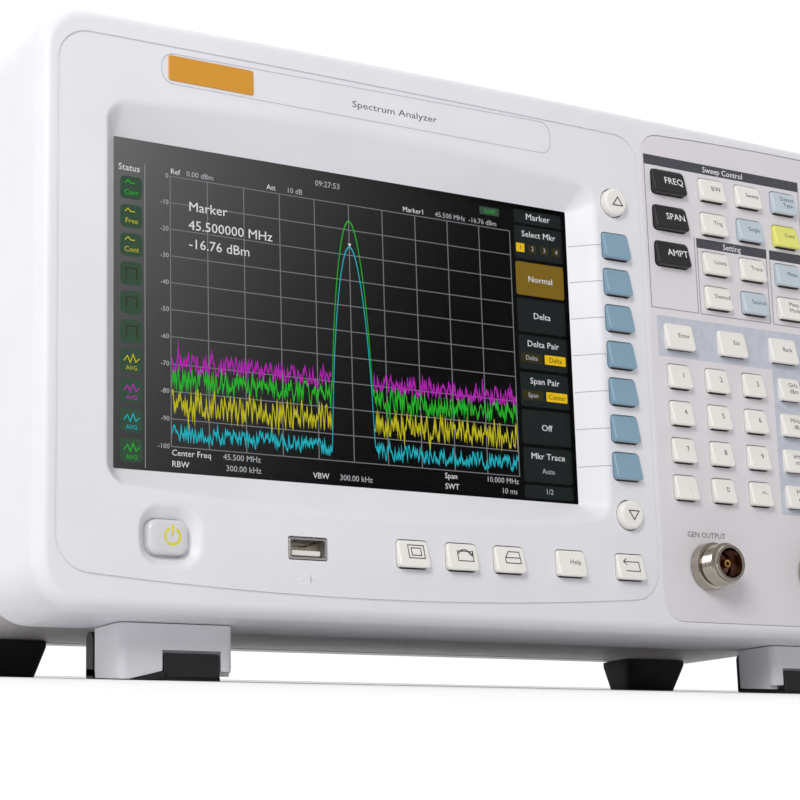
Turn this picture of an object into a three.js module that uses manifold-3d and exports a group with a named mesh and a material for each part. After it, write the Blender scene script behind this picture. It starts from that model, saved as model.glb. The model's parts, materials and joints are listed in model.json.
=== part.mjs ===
// Bench spectrum analyzer, in millimetres.
//
// The instrument is drawn square: X to the right, Z up, and Y into the case from the face plane, Y = 0.
// Z = 0 is the underside of the front bezel. The finished instrument then leans back on its feet.

import * as THREE from 'three';
import { mergeVertices } from 'three/addons/utils/BufferGeometryUtils.js';
import Module from 'manifold-3d';

const wasm = await Module();
wasm.setup();

// ---------------------------------------------------------------- driving dimensions

const lean = THREE.MathUtils.degToRad(5.4); // the face leans back by this much on its feet
const caseWidth = 399;
const bezelHeight = 201; // at its sides
const topBow = 2.3; // its top edge is this much higher in the middle
const caseDepth = 159;
const bezelDepth = 46;
const bezelWall = 3;
const metalInset = 6; // the metal case is this much smaller than the bezel all round
const sheet = 1.2; // thickness of the sheet metal
const gap = 0.35; // between pieces that touch

// The bezel's edge rolls from the face to the sides.
const rollInset = 4.5;
const rollDepth = 6;

// Display: the clear opening, and the surround that slopes out of it to the face.
const screen = { left: -170, right: 16.8, bottom: 47.6, top: 160.6, radius: 0.6 };
const surround = {
  left: -175.7, right: 25.5, bottom: 41.5, top: 169.7, radius: 7, bowTop: 5.2, bowBottom: 5.7,
};
const screenDepth = 8;

// Keypad fascia on the right of the face.
const fascia = { left: 48.3, right: 193.6, bottom: 4.4, top: 195.6, radius: 9, bowTop: 2.0 };
const fasciaThickness = 1.9;
const fasciaLedge = 4;

// Keys stand proud of the face, and a flange behind the face keeps each one in.
const keyProud = 3;
const keyTravel = 1.2;
const keyFlangeFront = bezelWall + gap;
const keyFlangeBack = keyFlangeFront + 1.2;
const keyClearance = 0.45;
const matFront = keyFlangeBack + keyTravel + 0.6;
const boardFront = matFront + 1.4;

// Feet: the ground is a plane in these coordinates, because the instrument leans on it.
const groundAtFace = -21.1;
const groundZ = (y) => groundAtFace + Math.tan(lean) * y;

// ---------------------------------------------------------------- shapes

// A rectangle with round corners, counter-clockwise, whose top and bottom edges may bow outwards.
function roundedOutline(edges, inset = 0, cornerSteps = 2) {
  const { left, right, bottom, top, radius, bowTop = 0, bowBottom = 0 } = edges;
  const [x0, x1, y0, y1] = [left + inset, right - inset, bottom + inset, top - inset];
  const r = Math.max(radius - inset, 0.3);
  const middle = (x0 + x1) / 2;
  const half = (x1 - x0) / 2;
  const bowSteps = bowTop || bowBottom ? 8 : 1;
  const points = [];
  const corner = (x, y, start) => {
    for (let step = 0; step <= cornerSteps; step++) {
      const angle = start + (Math.PI / 2) * (step / cornerSteps);
      points.push(new THREE.Vector2(x + r * Math.cos(angle), y + r * Math.sin(angle)));
    }
  };
  const edge = (from, to, y) => {
    for (let step = 1; step < bowSteps; step++) {
      points.push(new THREE.Vector2(from + (to - from) * (step / bowSteps), y));
    }
  };
  corner(x0 + r, y0 + r, Math.PI);
  edge(x0 + r, x1 - r, y0);
  corner(x1 - r, y0 + r, -Math.PI / 2);
  corner(x1 - r, y1 - r, 0);
  edge(x1 - r, x0 + r, y1);
  corner(x0 + r, y1 - r, Math.PI / 2);
  for (const point of points) {
    const share = 1 - ((point.x - middle) / half) ** 2;
    point.y += point.y > (y0 + y1) / 2 ? bowTop * share : -bowBottom * share;
  }
  return points;
}

const alongY = (point, level) => [point.x, level, point.y];
const downZ = (point, level) => [point.x, point.y, level];

// A closed solid through a stack of outlines with as many points each.
// Along Y the levels go up, and down Z they go down.
function loft(sections, place = alongY) {
  const count = sections[0].points.length;
  const positions = sections.flatMap(({ level, points }) => points.flatMap((point) => place(point, level)));
  const index = [];
  for (let ring = 0; ring < sections.length - 1; ring++) {
    for (let i = 0; i < count; i++) {
      const a = ring * count + i;
      const b = ring * count + ((i + 1) % count);
      index.push(a, b + count, b, a, a + count, b + count);
    }
  }
  const cap = (section, reversed) => {
    const { points } = sections[section];
    for (const [a, b, c] of THREE.ShapeUtils.triangulateShape(points, [])) {
      const turnsLeft = THREE.ShapeUtils.area([points[a], points[b], points[c]]) > 0;
      const corners = turnsLeft === reversed ? [a, c, b] : [a, b, c];
      index.push(...corners.map((corner) => corner + section * count));
    }
  };
  cap(0, false);
  cap(sections.length - 1, true);
  const geometry = new THREE.BufferGeometry();
  geometry.setAttribute('position', new THREE.Float32BufferAttribute(positions, 3));
  geometry.setIndex(index);
  return geometry;
}

// One outline drawn at several levels, each [level, inset].
function slab(outline, levels, place = alongY, cornerSteps = 2) {
  const sections = levels.map(([level, inset]) => {
    return { level, points: roundedOutline(outline, inset, cornerSteps) };
  });
  return loft(sections, place);
}

function block([x0, x1], [y0, y1], [z0, z1]) {
  const box = new THREE.BoxGeometry(x1 - x0, y1 - y0, z1 - z0);
  return box.translate((x0 + x1) / 2, (y0 + y1) / 2, (z0 + z1) / 2);
}

// A cylinder along Y.
function rod(radius, [y0, y1], x, z, sides = 20) {
  return new THREE.CylinderGeometry(radius, radius, y1 - y0, sides).translate(x, (y0 + y1) / 2, z);
}

// A cylinder along X.
function pin(radius, [x0, x1], y, z, sides = 12) {
  const cylinder = new THREE.CylinderGeometry(radius, radius, x1 - x0, sides).rotateZ(Math.PI / 2);
  return cylinder.translate((x0 + x1) / 2, y, z);
}

// A profile of [radius, y] points turned about Y. It runs from the front, round the outside, to the back.
function turned(profile, sides = 28) {
  return new THREE.LatheGeometry(profile.map(([radius, y]) => new THREE.Vector2(radius, y)), sides);
}

// A side view of [y, z] points, extruded from x0 to x1.
function sideProfile(points, [x0, x1]) {
  const shape = new THREE.Shape(points.map(([y, z]) => new THREE.Vector2(y, z)));
  const solid = new THREE.ExtrudeGeometry(shape, { depth: x1 - x0, bevelEnabled: false });
  const alongX = new THREE.Vector3(1, 0, 0);
  const acrossY = new THREE.Vector3(0, 1, 0);
  const upZ = new THREE.Vector3(0, 0, 1);
  const upright = new THREE.Matrix4().makeBasis(acrossY, upZ, alongX);
  return solid.applyMatrix4(upright).translate(x0, 0, 0);
}

// A front view of [x, z] points, extruded from y0 to y1.
function frontProfile(points, [y0, y1]) {
  const corners = points.map(([x, z]) => new THREE.Vector2(x, z));
  if (THREE.ShapeUtils.isClockWise(corners)) corners.reverse();
  return loft([y0, y1].map((level) => ({ level, points: corners })));
}

// ---------------------------------------------------------------- joining and cutting

function toSolid(geometry) {
  const bare = geometry.clone();
  bare.deleteAttribute('normal');
  bare.deleteAttribute('uv');
  const welded = mergeVertices(bare, 1e-4);
  const vertProperties = welded.attributes.position.array;
  const triVerts = new Uint32Array(welded.index.array);
  return new wasm.Manifold(new wasm.Mesh({ numProp: 3, vertProperties, triVerts }));
}

function toGeometry(solid) {
  const { vertProperties, triVerts } = solid.getMesh();
  const geometry = new THREE.BufferGeometry();
  geometry.setAttribute('position', new THREE.BufferAttribute(vertProperties, 3));
  geometry.setIndex(new THREE.BufferAttribute(triVerts, 1));
  geometry.computeVertexNormals();
  return geometry;
}

const join = (...parts) => toGeometry(parts.map(toSolid).reduce((sum, part) => sum.add(part)));
const cut = (base, ...tools) => {
  return toGeometry(tools.map(toSolid).reduce((rest, tool) => rest.subtract(tool), toSolid(base)));
};

// ---------------------------------------------------------------- the scene graph

const instrument = new THREE.Group();

function add(name, geometry, { color, roughness = 0.5, metalness = 0 }) {
  const mesh = new THREE.Mesh(geometry, new THREE.MeshStandardMaterial({ color, roughness, metalness }));
  mesh.name = name;
  instrument.add(mesh);
}

const whitePlastic = { color: 0xe6e5ea, roughness: 0.45 };
const palePlastic = { color: 0xdcdbe2, roughness: 0.45 };
const creamPlastic = { color: 0xece8e1, roughness: 0.5 };
const blackPlastic = { color: 0x232326, roughness: 0.5 };
const bluePlastic = { color: 0x87a8bb, roughness: 0.4 };
const paintedSteel = { color: 0xb9b7b5, roughness: 0.55, metalness: 0.3 };
const plainSteel = { color: 0xb4b6b8, roughness: 0.4, metalness: 0.9 };
const nickel = { color: 0xc9c5bd, roughness: 0.25, metalness: 1 };
const circuitBoard = { color: 0x1f5a36, roughness: 0.6 };
const silicone = { color: 0x8e9196, roughness: 0.8 };

// ---------------------------------------------------------------- keys

// Each key is { x, z, width, height }, about its centre.
const row = (xs, z, width, height) => xs.map((x) => ({ x, z, width, height }));

const softkeyColumn = 33.7;
const softkeyPitch = 14.2;
const softkeys = Array.from({ length: 7 }, (_, i) => {
  return { x: softkeyColumn, z: 146.8 - softkeyPitch * i, width: 12, height: 10.4 };
});

const pageKeyRadius = 5.4;
const pageKeys = { page_up_key: 164.3, page_down_key: 43.4 };

const screenKeyZ = 23.9;
const screenKeys = row([-61.9, -41.6, -21.5], screenKeyZ, 12.5, 9.6);
const helpKey = row([5.5], screenKeyZ, 12.5, 9.6)[0];
const returnKey = row([32.7], screenKeyZ, 12.5, 9.6)[0];

const powerKey = { x: -154.2, z: 24.9, width: 15.6, height: 12.6 };
const powerDish = { left: -164.6, right: -142, bottom: 15, top: 35.4, radius: 8 };
const powerDishDepth = 2.2;

const functionRows = [176.5, 162.4, 146.2, 132.3];
const functionColumns = Array.from({ length: 6 }, (_, i) => 83.4 + 18.8 * i);
const bandColumn = 61.5;
const bandKeys = {
  frequency_key: functionRows[0],
  span_key: functionRows[0] - 14.6,
  amplitude_key: functionRows[0] - 2 * 14.6,
};
const functionKeys = (xs, zs) => zs.flatMap((z) => row(xs, z, 12.5, 9.4));
const digitColumns = [61.5, 80.15, 98.8];
const unitColumn = 117.45;
const digitRows = [98.7, 84.3, 69.9, 55.5];
const entryRow = 114.3;

const keyGroups = {
  sweep_keys: functionKeys(functionColumns.slice(0, 3), functionRows.slice(0, 2)),
  setting_keys: functionKeys(functionColumns.slice(0, 2), functionRows.slice(2)),
  measure_keys: functionKeys(functionColumns.slice(2), functionRows.slice(2)),
  marker_keys: functionKeys(functionColumns.slice(3), functionRows.slice(0, 2)),
  entry_keys: row([62.4, 88.9, 115.4], entryRow, 13.6, 10.6),
  digit_keys: digitRows.flatMap((z) => row(digitColumns, z, 10.5, 9.6)),
  unit_keys: digitRows.flatMap((z) => row([unitColumn], z, 10.5, 9.6)),
};
const arrowKeys = { arrow_left_key: 143, arrow_right_key: 180 };

const knobCentre = { x: 161.5, z: 80 };
const outputSocket = { x: 70.7, z: 25.8 };
const inputSocket = { x: 124.7, z: 25.8 };
const phonesSocket = { x: 168, z: 25.8 };
const usbHost = { x: -102.8, z: 23.8 };

function keyOutline({ x, z, width, height }) {
  return {
    left: x - width / 2,
    right: x + width / 2,
    bottom: z - height / 2,
    top: z + height / 2,
    radius: 1.2,
  };
}

const keyEdge = 0.7;
const keyCornerSteps = 1;
const keyTop = (proud) => [[-proud, keyEdge], [keyEdge - proud, 0]];
const keyUpperProud = 0.6;

// Tips the front of a cap back: it stands proud at its lower edge and is nearly flush at its upper edge.
function tipped(cap, { z, height }) {
  const position = cap.getAttribute('position');
  for (let i = 0; i < position.count; i++) {
    if (position.getY(i) >= 0) continue;
    const share = THREE.MathUtils.clamp((position.getZ(i) - z) / height + 0.5, 0, 1);
    position.setY(i, position.getY(i) + share * (keyProud - keyUpperProud));
  }
  return cap;
}

// A single key: a cap, then a wider flange behind the face.
function flangedKey(key) {
  const levels = [...keyTop(keyProud), [keyFlangeFront, 0], [keyFlangeFront, -1], [keyFlangeBack, -1]];
  return tipped(slab(keyOutline(key), levels, alongY, keyCornerSteps), key);
}

function flatKey(key, proud) {
  const levels = [...keyTop(proud), [keyFlangeFront, 0], [keyFlangeFront, -1], [keyFlangeBack, -1]];
  return slab(keyOutline(key), levels, alongY, keyCornerSteps);
}

function roundKey(x, z) {
  const r = pageKeyRadius;
  const profile = [
    [0, -keyProud], [r - keyEdge, -keyProud], [r, keyEdge - keyProud],
    [r, keyFlangeFront], [r + 0.8, keyFlangeFront], [r + 0.8, keyFlangeBack], [0, keyFlangeBack],
  ];
  return join(turned(profile, 20).translate(x, 0, z));
}

// Several caps moulded on one web, which moves behind the face.
function keyGroup(keys) {
  const capLevels = [...keyTop(keyProud), [keyFlangeFront + 0.6, 0]];
  const caps = keys.map((key) => tipped(slab(keyOutline(key), capLevels, alongY, keyCornerSteps), key));
  const outlines = keys.map(keyOutline);
  const web = block(
    [Math.min(...outlines.map((o) => o.left)) - 1, Math.max(...outlines.map((o) => o.right)) + 1],
    [keyFlangeFront, keyFlangeBack],
    [Math.min(...outlines.map((o) => o.bottom)) - 1, Math.max(...outlines.map((o) => o.top)) + 1],
  );
  return join(web, ...caps);
}

const bandKey = (z) => ({ x: bandColumn, z, width: 16, height: 9.8 });
const arrowKey = (x) => ({ x, z: entryRow, width: 12.5, height: 9.4 });
const faceKeys = [...softkeys, ...screenKeys, helpKey, returnKey];
const fasciaKeys = [
  ...Object.values(keyGroups).flat(),
  ...Object.values(bandKeys).map(bandKey),
  ...Object.values(arrowKeys).map(arrowKey),
];
const holeLevels = [[-1, -keyClearance], [bezelWall + 1, -keyClearance]];
const keyHole = (key) => slab(keyOutline(key), holeLevels, alongY, keyCornerSteps);

function addKeys() {
  softkeys.forEach((key, i) => add(`softkey_${i + 1}`, flangedKey(key), bluePlastic));
  for (const [name, z] of Object.entries(pageKeys)) add(name, roundKey(softkeyColumn, z), creamPlastic);
  add('screen_keys', keyGroup(screenKeys), creamPlastic);
  add('help_key', flangedKey(helpKey), creamPlastic);
  add('return_key', flangedKey(returnKey), creamPlastic);
  add('power_key', flatKey(powerKey, 0.6), { color: 0xdfe4f2, roughness: 0.2 });
  for (const [name, z] of Object.entries(bandKeys)) add(name, flangedKey(bandKey(z)), blackPlastic);
  for (const [name, x] of Object.entries(arrowKeys)) add(name, flangedKey(arrowKey(x)), creamPlastic);
  for (const [name, keys] of Object.entries(keyGroups)) add(name, keyGroup(keys), creamPlastic);
}

// ---------------------------------------------------------------- front

const bezelOutline = {
  left: -caseWidth / 2, right: caseWidth / 2, bottom: 0, top: bezelHeight, radius: 16, bowTop: topBow,
};

function frontBezel() {
  const rollSteps = 3;
  const roll = Array.from({ length: rollSteps + 1 }, (_, step) => {
    const angle = (Math.PI / 2) * (step / rollSteps);
    return [rollDepth * (1 - Math.cos(angle)), rollInset * (1 - Math.sin(angle))];
  });
  const lip = metalInset - gap; // its rear lip closes on the metal case
  const cavity = [
    [bezelWall, bezelWall], [bezelDepth - 13, bezelWall], [bezelDepth - 10, lip], [bezelDepth + 1, lip],
  ];
  const shell = cut(
    slab(bezelOutline, [...roll, [bezelDepth, 0]], alongY, 4),
    slab(bezelOutline, cavity, alongY, 4),
  );
  const displayFrame = block([-178.5, 26.4], [bezelWall - 1, screenDepth + 2], [34, 177]);
  const funnel = loft([
    { level: -0.01, points: roundedOutline(surround, 0, 4) },
    { level: screenDepth, points: roundedOutline({ ...screen, bowTop: 0.001 }, 0, 4) },
    { level: screenDepth + 3, points: roundedOutline({ ...screen, bowTop: 0.001 }, 0, 4) },
  ]);
  const windowSeat = slab({ ...screen, radius: 1 }, [[screenDepth, -2.9], [screenDepth + 3, -2.9]]);
  const dish = loft([
    { level: -0.01, points: roundedOutline(powerDish, 0, 3) },
    { level: powerDishDepth, points: roundedOutline({ ...keyOutline(powerKey), radius: 2 }, -0.6, 3) },
    { level: bezelWall + 1, points: roundedOutline({ ...keyOutline(powerKey), radius: 2 }, -0.6, 3) },
  ]);
  const fasciaSeat = slab(fascia, [[-1, 0], [fasciaThickness + gap, 0]]);
  const fasciaOpening = slab(fascia, [[-1, fasciaLedge], [bezelWall + 1, fasciaLedge]]);
  const { x: usbX, z: usbZ } = usbHost;
  const usbHole = block([usbX - 7.6, usbX + 7.6], [-1, bezelWall + 1], [usbZ - 4, usbZ + 4]);
  const pageHoles = Object.values(pageKeys).map((z) => {
    return rod(pageKeyRadius + keyClearance, [-1, bezelWall + 1], softkeyColumn, z);
  });
  return cut(
    join(shell, displayFrame),
    funnel, windowSeat, dish, fasciaSeat, fasciaOpening, usbHole, ...pageHoles, ...faceKeys.map(keyHole),
  );
}

function keypadFascia() {
  const plate = slab(fascia, [[0.1, gap + 0.3], [0.4, gap], [fasciaThickness, gap]]);
  const holes = [
    rod(5, [-1, 3], knobCentre.x, knobCentre.z),
    rod(7.9, [-1, 3], outputSocket.x, outputSocket.z),
    rod(7.9, [-1, 3], inputSocket.x, inputSocket.z),
    rod(4.6, [-1, 3], phonesSocket.x, phonesSocket.z),
  ];
  return cut(plate, ...holes, ...fasciaKeys.map(keyHole));
}

// Display: the window, and the panel behind it.
const panelFront = screenDepth + 2 + gap;
const panelBack = panelFront + 8;

function addDisplay() {
  const window = slab({ ...screen, radius: 1 }, [[screenDepth + gap, -2.5], [screenDepth + 1.7, -2.5]]);
  add('screen_window', window, { color: 0x1a1e22, roughness: 0.1 });
  add('lcd_panel', slab({ ...screen, radius: 1 }, [[panelFront, -5], [panelBack, -5]]), blackPlastic);
}

// Boards behind the keys, and the silicone mat between.
function addBoards() {
  const boardBack = boardFront + 1.6;
  const board = join(
    block([53.5, 188.5], [boardFront, boardBack], [44, 189]),
    block([27.2, 54], [boardFront, boardBack], [14, 172]),
    block([-72, 30], [boardFront, boardBack], [14, 32.5]),
  );
  add('key_board', board, circuitBoard);
  const { x: knobX, z: knobZ } = knobCentre;
  const encoderHole = block([knobX - 7, knobX + 7], [0, 20], [knobZ - 7, knobZ + 7]);
  const mat = cut(block([53.5, 188.5], [matFront, matFront + 1], [46, 187]), encoderHole);
  add('keypad_mat', mat, silicone);
}

function addKnob() {
  const { x, z } = knobCentre;
  const knob = turned([
    [0, -14], [13.5, -14.5], [15.2, -13.4], [16, -1.6], [15.4, -0.6], [3.4, -0.6], [3.4, -10], [0, -10],
  ], 32);
  add('tuning_knob', join(knob.translate(x, 0, z)), { color: 0xd3d3d8, roughness: 0.4 });
  const encoder = join(
    block([x - 6.2, x + 6.2], [bezelWall - 0.4, boardFront - gap], [z - 6.2, z + 6.2]),
    rod(4.5, [-0.2, bezelWall], x, z),
    rod(3, [-9.4, bezelWall], x, z),
  );
  add('knob_encoder', encoder, plainSteel);
}

// A coaxial socket: threaded barrel on a round flange, and the contact in its dielectric.
function addCoaxSocket(name, { x, z }) {
  const flangeFront = -4.6;
  const mouth = -13;
  const floor = -3.4;
  const barrel = turned([
    [0, floor], [5.4, floor], [5.4, mouth], [7.1, mouth], [7.9, mouth + 0.9], [7.9, flangeFront],
    [9, flangeFront], [9, -gap], [7.5, -gap], [7.5, 15], [0, 15],
  ]);
  add(`${name}_socket`, join(barrel.translate(x, 0, z)), nickel);
  const contact = turned([[0, -11], [1.7, -11], [1.7, -6], [5, -6], [5, floor - gap], [0, floor - gap]], 16);
  const gold = { color: 0xb98d46, roughness: 0.3, metalness: 0.8 };
  add(`${name}_contact`, join(contact.translate(x, 0, z)), gold);
}

function phonesJack() {
  const { x, z } = phonesSocket;
  const ring = turned([
    [0, 9], [2.3, 9], [2.3, -1.2], [4.9, -1.2], [4.9, -0.3], [4.2, 0.2], [4.2, 12], [0, 12],
  ], 20);
  return join(ring.translate(x, 0, z));
}

function usbHostPort() {
  const { x, z } = usbHost;
  return join(
    cut(
      block([x - 7.2, x + 7.2], [0.2, 15], [z - 3.6, z + 3.6]),
      block([x - 6.5, x + 6.5], [-1, 11], [z - 2.7, z + 2.7]),
    ),
    block([x - 5.6, x + 5.6], [1.6, 12], [z - 2.2, z - 0.5]),
  );
}

// ---------------------------------------------------------------- metal case

const metalCase = {
  left: -caseWidth / 2 + metalInset,
  right: caseWidth / 2 - metalInset,
  bottom: metalInset,
  top: bezelHeight - metalInset,
  radius: 10,
};
const coverBack = caseDepth - 12;
const panelY = coverBack - 2;

// Carry handle: its pins turn in two lugs on the cover.
const handle = { halfWidth: 118, front: 62, bar: 13, arm: 8, thickness: 8 };
const handlePivot = { y: 128, z: metalCase.top + handle.thickness / 2 + 0.6 };
const lug = { inner: handle.halfWidth - handle.arm - 6.4, outer: handle.halfWidth - handle.arm - 0.4 };

function caseCover() {
  const sides = slab(metalCase, [[bezelDepth - 8, 0], [coverBack, 0]], alongY, 3);
  const inside = slab(metalCase, [[bezelDepth - 9, sheet], [coverBack + 1, sheet]], alongY, 3);
  const underside = block([-185, 185], [0, caseDepth], [metalCase.bottom - 1, metalCase.bottom + 3]);
  const slots = Array.from({ length: 10 }, (_, i) => {
    const y = 76 + 6.5 * i;
    return block([-caseWidth, caseWidth], [y, y + 3], [60, 140]);
  });
  const lugs = [-1, 1].map((side) => {
    const ends = [side * lug.inner, side * lug.outer].sort((a, b) => a - b);
    return join(
      block(ends, [handlePivot.y - 5, handlePivot.y + 5], [metalCase.top - 0.6, handlePivot.z]),
      pin(5, ends, handlePivot.y, handlePivot.z, 20),
    );
  });
  const holes = pin(2.4, [-caseWidth / 2, caseWidth / 2], handlePivot.y, handlePivot.z, 16);
  return cut(join(cut(sides, inside, underside, ...slots), ...lugs), holes);
}

function carryHandle() {
  const { halfWidth, front, bar, arm, thickness } = handle;
  const bottom = handlePivot.z - thickness / 2;
  const back = handlePivot.y + 20;
  const outer = { left: -halfWidth, right: halfWidth, bottom: front, top: back, radius: 12 };
  const inner = { left: arm - halfWidth, right: halfWidth - arm, bottom: front + bar, top: back, radius: 6 };
  const levels = [[bottom + thickness, 1], [bottom + thickness - 1, 0], [bottom, 0]];
  const bail = cut(
    slab(outer, levels, downZ, 3),
    slab(inner, [[bottom + thickness + 1, 0], [bottom - 1, 0]], downZ, 3),
    block([-halfWidth - 1, halfWidth + 1], [handlePivot.y, back + 1], [bottom - 1, bottom + thickness + 1]),
  );
  const ends = [-1, 1].flatMap((side) => {
    const across = (from, to) => [side * from, side * to].sort((a, b) => a - b);
    return [
      pin(thickness / 2, across(halfWidth - arm, halfWidth), handlePivot.y, handlePivot.z, 16),
      pin(2, across(lug.inner + 1, lug.outer + 4), handlePivot.y, handlePivot.z),
    ];
  });
  return join(bail, ...ends);
}

function chassisTray() {
  const half = 184.6;
  const floor = [metalCase.bottom, metalCase.bottom + sheet];
  const upright = [metalCase.bottom, metalCase.bottom + 14];
  const length = [bezelDepth - 6, panelY - gap];
  return join(
    block([-half, half], length, floor),
    block([-half, sheet - half], length, upright),
    block([half - sheet, half], length, upright),
  );
}

// ---------------------------------------------------------------- rear

const fan = { x: -100, z: 108, half: 40, bore: 37 };
const inlet = { x: 150, z: 40 };
const lanJack = { x: 20, z: 40, width: 16, height: 13.6 };
const usbDevice = { x: 52, z: 40, width: 12, height: 11 };
const referenceIn = { x: 85, z: 40 };
const referenceOut = { x: 108, z: 40 };
const bncRadius = 4.8;

function rearPanel() {
  const plate = slab(metalCase, [[panelY, sheet + 0.5], [panelY + 1.5, sheet + 0.5]], alongY, 3);
  const through = [panelY - 1, panelY + 3];
  const grille = Array.from({ length: 11 }, (_, i) => {
    const offset = (i - 5) * 6.4;
    const reach = Math.sqrt((fan.bore - 1) ** 2 - offset ** 2);
    return block([fan.x + offset - 2, fan.x + offset + 2], through, [fan.z - reach, fan.z + reach]);
  });
  const window = ({ x, z, width, height }) => {
    const [halfWidth, halfHeight] = [width / 2 + 0.4, height / 2 + 0.4];
    return block([x - halfWidth, x + halfWidth], through, [z - halfHeight, z + halfHeight]);
  };
  return cut(
    plate, ...grille, window(lanJack), window(usbDevice), window({ ...inlet, width: 27, height: 19.4 }),
    rod(bncRadius + 0.4, through, referenceIn.x, referenceIn.z),
    rod(bncRadius + 0.4, through, referenceOut.x, referenceOut.z),
  );
}

function rearFrame() {
  return cut(
    slab(
      metalCase,
      [[coverBack + gap, 0], [caseDepth - 2.5, 0], [caseDepth - 0.7, 0.7], [caseDepth, 2.5]],
      alongY,
      3,
    ),
    slab(metalCase, [[coverBack - 1, 6], [caseDepth - 3, 6], [caseDepth + 0.1, 7]], alongY, 3),
  );
}

function addFan() {
  const depth = [panelY - gap - 20, panelY - gap];
  const frame = cut(
    block([fan.x - fan.half, fan.x + fan.half], depth, [fan.z - fan.half, fan.z + fan.half]),
    rod(fan.bore, [depth[0] + 3, depth[1] + 1], fan.x, fan.z, 32),
    ...[-1, 1].flatMap((side) => [
      block([fan.x + side * 24 - 9, fan.x + side * 24 + 9], [0, caseDepth], [fan.z + 4, fan.z + 24]),
      block([fan.x + side * 24 - 9, fan.x + side * 24 + 9], [0, caseDepth], [fan.z - 24, fan.z - 4]),
    ]),
  );
  add('fan_frame', frame, blackPlastic);
  const hub = rod(15, [depth[0] + 4, depth[1] - 1.5], fan.x, fan.z, 20);
  const blades = Array.from({ length: 7 }, (_, i) => {
    const middle = (depth[0] + depth[1]) / 2 + 1;
    const blade = new THREE.BoxGeometry(22, 13, 1.6).rotateX(0.7).translate(24, middle, 0);
    return blade.rotateY((2 * Math.PI * i) / 7).translate(fan.x, 0, fan.z);
  });
  add('fan_rotor', join(hub, ...blades), blackPlastic);
}

function mainsInlet() {
  const { x, z } = inlet;
  const pins = [[-7, -1.5], [0, 3], [7, -1.5]].map(([dx, dz]) => {
    return block([x + dx - 1, x + dx + 1], [panelY - 16, panelY - 1], [z + dz - 2, z + dz + 2]);
  });
  const body = join(
    block([x - 13.3, x + 13.3], [panelY - 17, panelY + 2.2], [z - 9.5, z + 9.5]),
    slab(
      { left: x - 16, right: x + 16, bottom: z - 12, top: z + 12, radius: 2 },
      [[panelY + 1.9, 0], [panelY + 4, 0.6]],
    ),
  );
  return join(cut(body, block([x - 12, x + 12], [panelY - 15, panelY + 6], [z - 8, z + 8])), ...pins);
}

function bncSocket({ x, z }) {
  const barrel = turned([
    [0, panelY - 12], [bncRadius, panelY - 12], [bncRadius, panelY + 12], [3.6, panelY + 12],
    [3.6, panelY + 4], [0.8, panelY + 4], [0.8, panelY + 9], [0, panelY + 9],
  ], 20);
  const studs = pin(1, [-bncRadius - 1, 1 - bncRadius], 0, 0, 8);
  const studPair = [studs, studs.clone().rotateZ(Math.PI)].map((stud) => stud.translate(x, panelY + 8.5, z));
  return join(barrel.translate(x, 0, z), ...studPair);
}

function lanSocket() {
  const { x, z, width, height } = lanJack;
  return cut(
    block([x - width / 2, x + width / 2], [panelY - 14, panelY + 2.5], [z - height / 2, z + height / 2]),
    block([x - 6, x + 6], [panelY - 10, panelY + 3], [z - 5, z + 3.5]),
    block([x - 3, x + 3], [panelY - 10, panelY + 3], [z, z + 5.4]),
  );
}

function usbDeviceSocket() {
  const { x, z, width, height } = usbDevice;
  return join(
    cut(
      block([x - width / 2, x + width / 2], [panelY - 12, panelY + 2.5], [z - height / 2, z + height / 2]),
      block([x - 4.6, x + 4.6], [panelY - 8, panelY + 3], [z - 4.2, z + 4.2]),
    ),
    block([x - 2.8, x + 2.8], [panelY - 9, panelY + 1.5], [z - 1.6, z + 1.6]),
  );
}

// ---------------------------------------------------------------- inside

function addElectronics() {
  const boardZ = 24;
  const standoffs = [[-40, 48], [178, 48], [-40, 132], [178, 132]].map(([x, y]) => {
    return block([x - 3, x + 3], [y - 3, y + 3], [metalCase.bottom + sheet + gap, boardZ + 0.5]);
  });
  const chips = [[-20, 60, 26], [-20, 100, 18], [24, 70, 22], [30, 110, 14]].map(([x, y, size]) => {
    return block([x - size / 2, x + size / 2], [y - size / 2, y + size / 2], [boardZ + 1, boardZ + 5]);
  });
  const sheetOfBoard = block([-45, 183], [43, 127], [boardZ, boardZ + 1.6]);
  const board = join(sheetOfBoard, ...standoffs.slice(0, 2), ...chips);
  add('main_board', board, circuitBoard);

  const bay = { left: 62, right: 176, bottom: 50, top: 122, radius: 2 };
  const shieldBottom = boardZ + 1.6 + gap;
  const ribs = Array.from({ length: 5 }, (_, i) => block([74 + 22 * i, 76 + 22 * i], [52, 120], [90, 95]));
  add('rf_shield', join(slab(bay, [[91, 1], [90, 0], [shieldBottom, 0]], downZ), ...ribs), {
    color: 0xc4c7ca, roughness: 0.35, metalness: 0.9,
  });

  const supplyFloor = metalCase.bottom + sheet + gap;
  const supply = join(
    block([-178, -62], [45, 118], [supplyFloor, supplyFloor + 3]),
    block([-174, -134], [50, 90], [supplyFloor + 2, 42]),
    block([-126, -100], [52, 112], [supplyFloor + 2, 34]),
    block([-92, -84], [50, 114], [supplyFloor + 2, 48]),
    rod(9, [50, 85], -75, supplyFloor + 10, 14),
  );
  add('power_supply', supply, { color: 0x6f7378, roughness: 0.5, metalness: 0.3 });
}

// ---------------------------------------------------------------- feet

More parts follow.
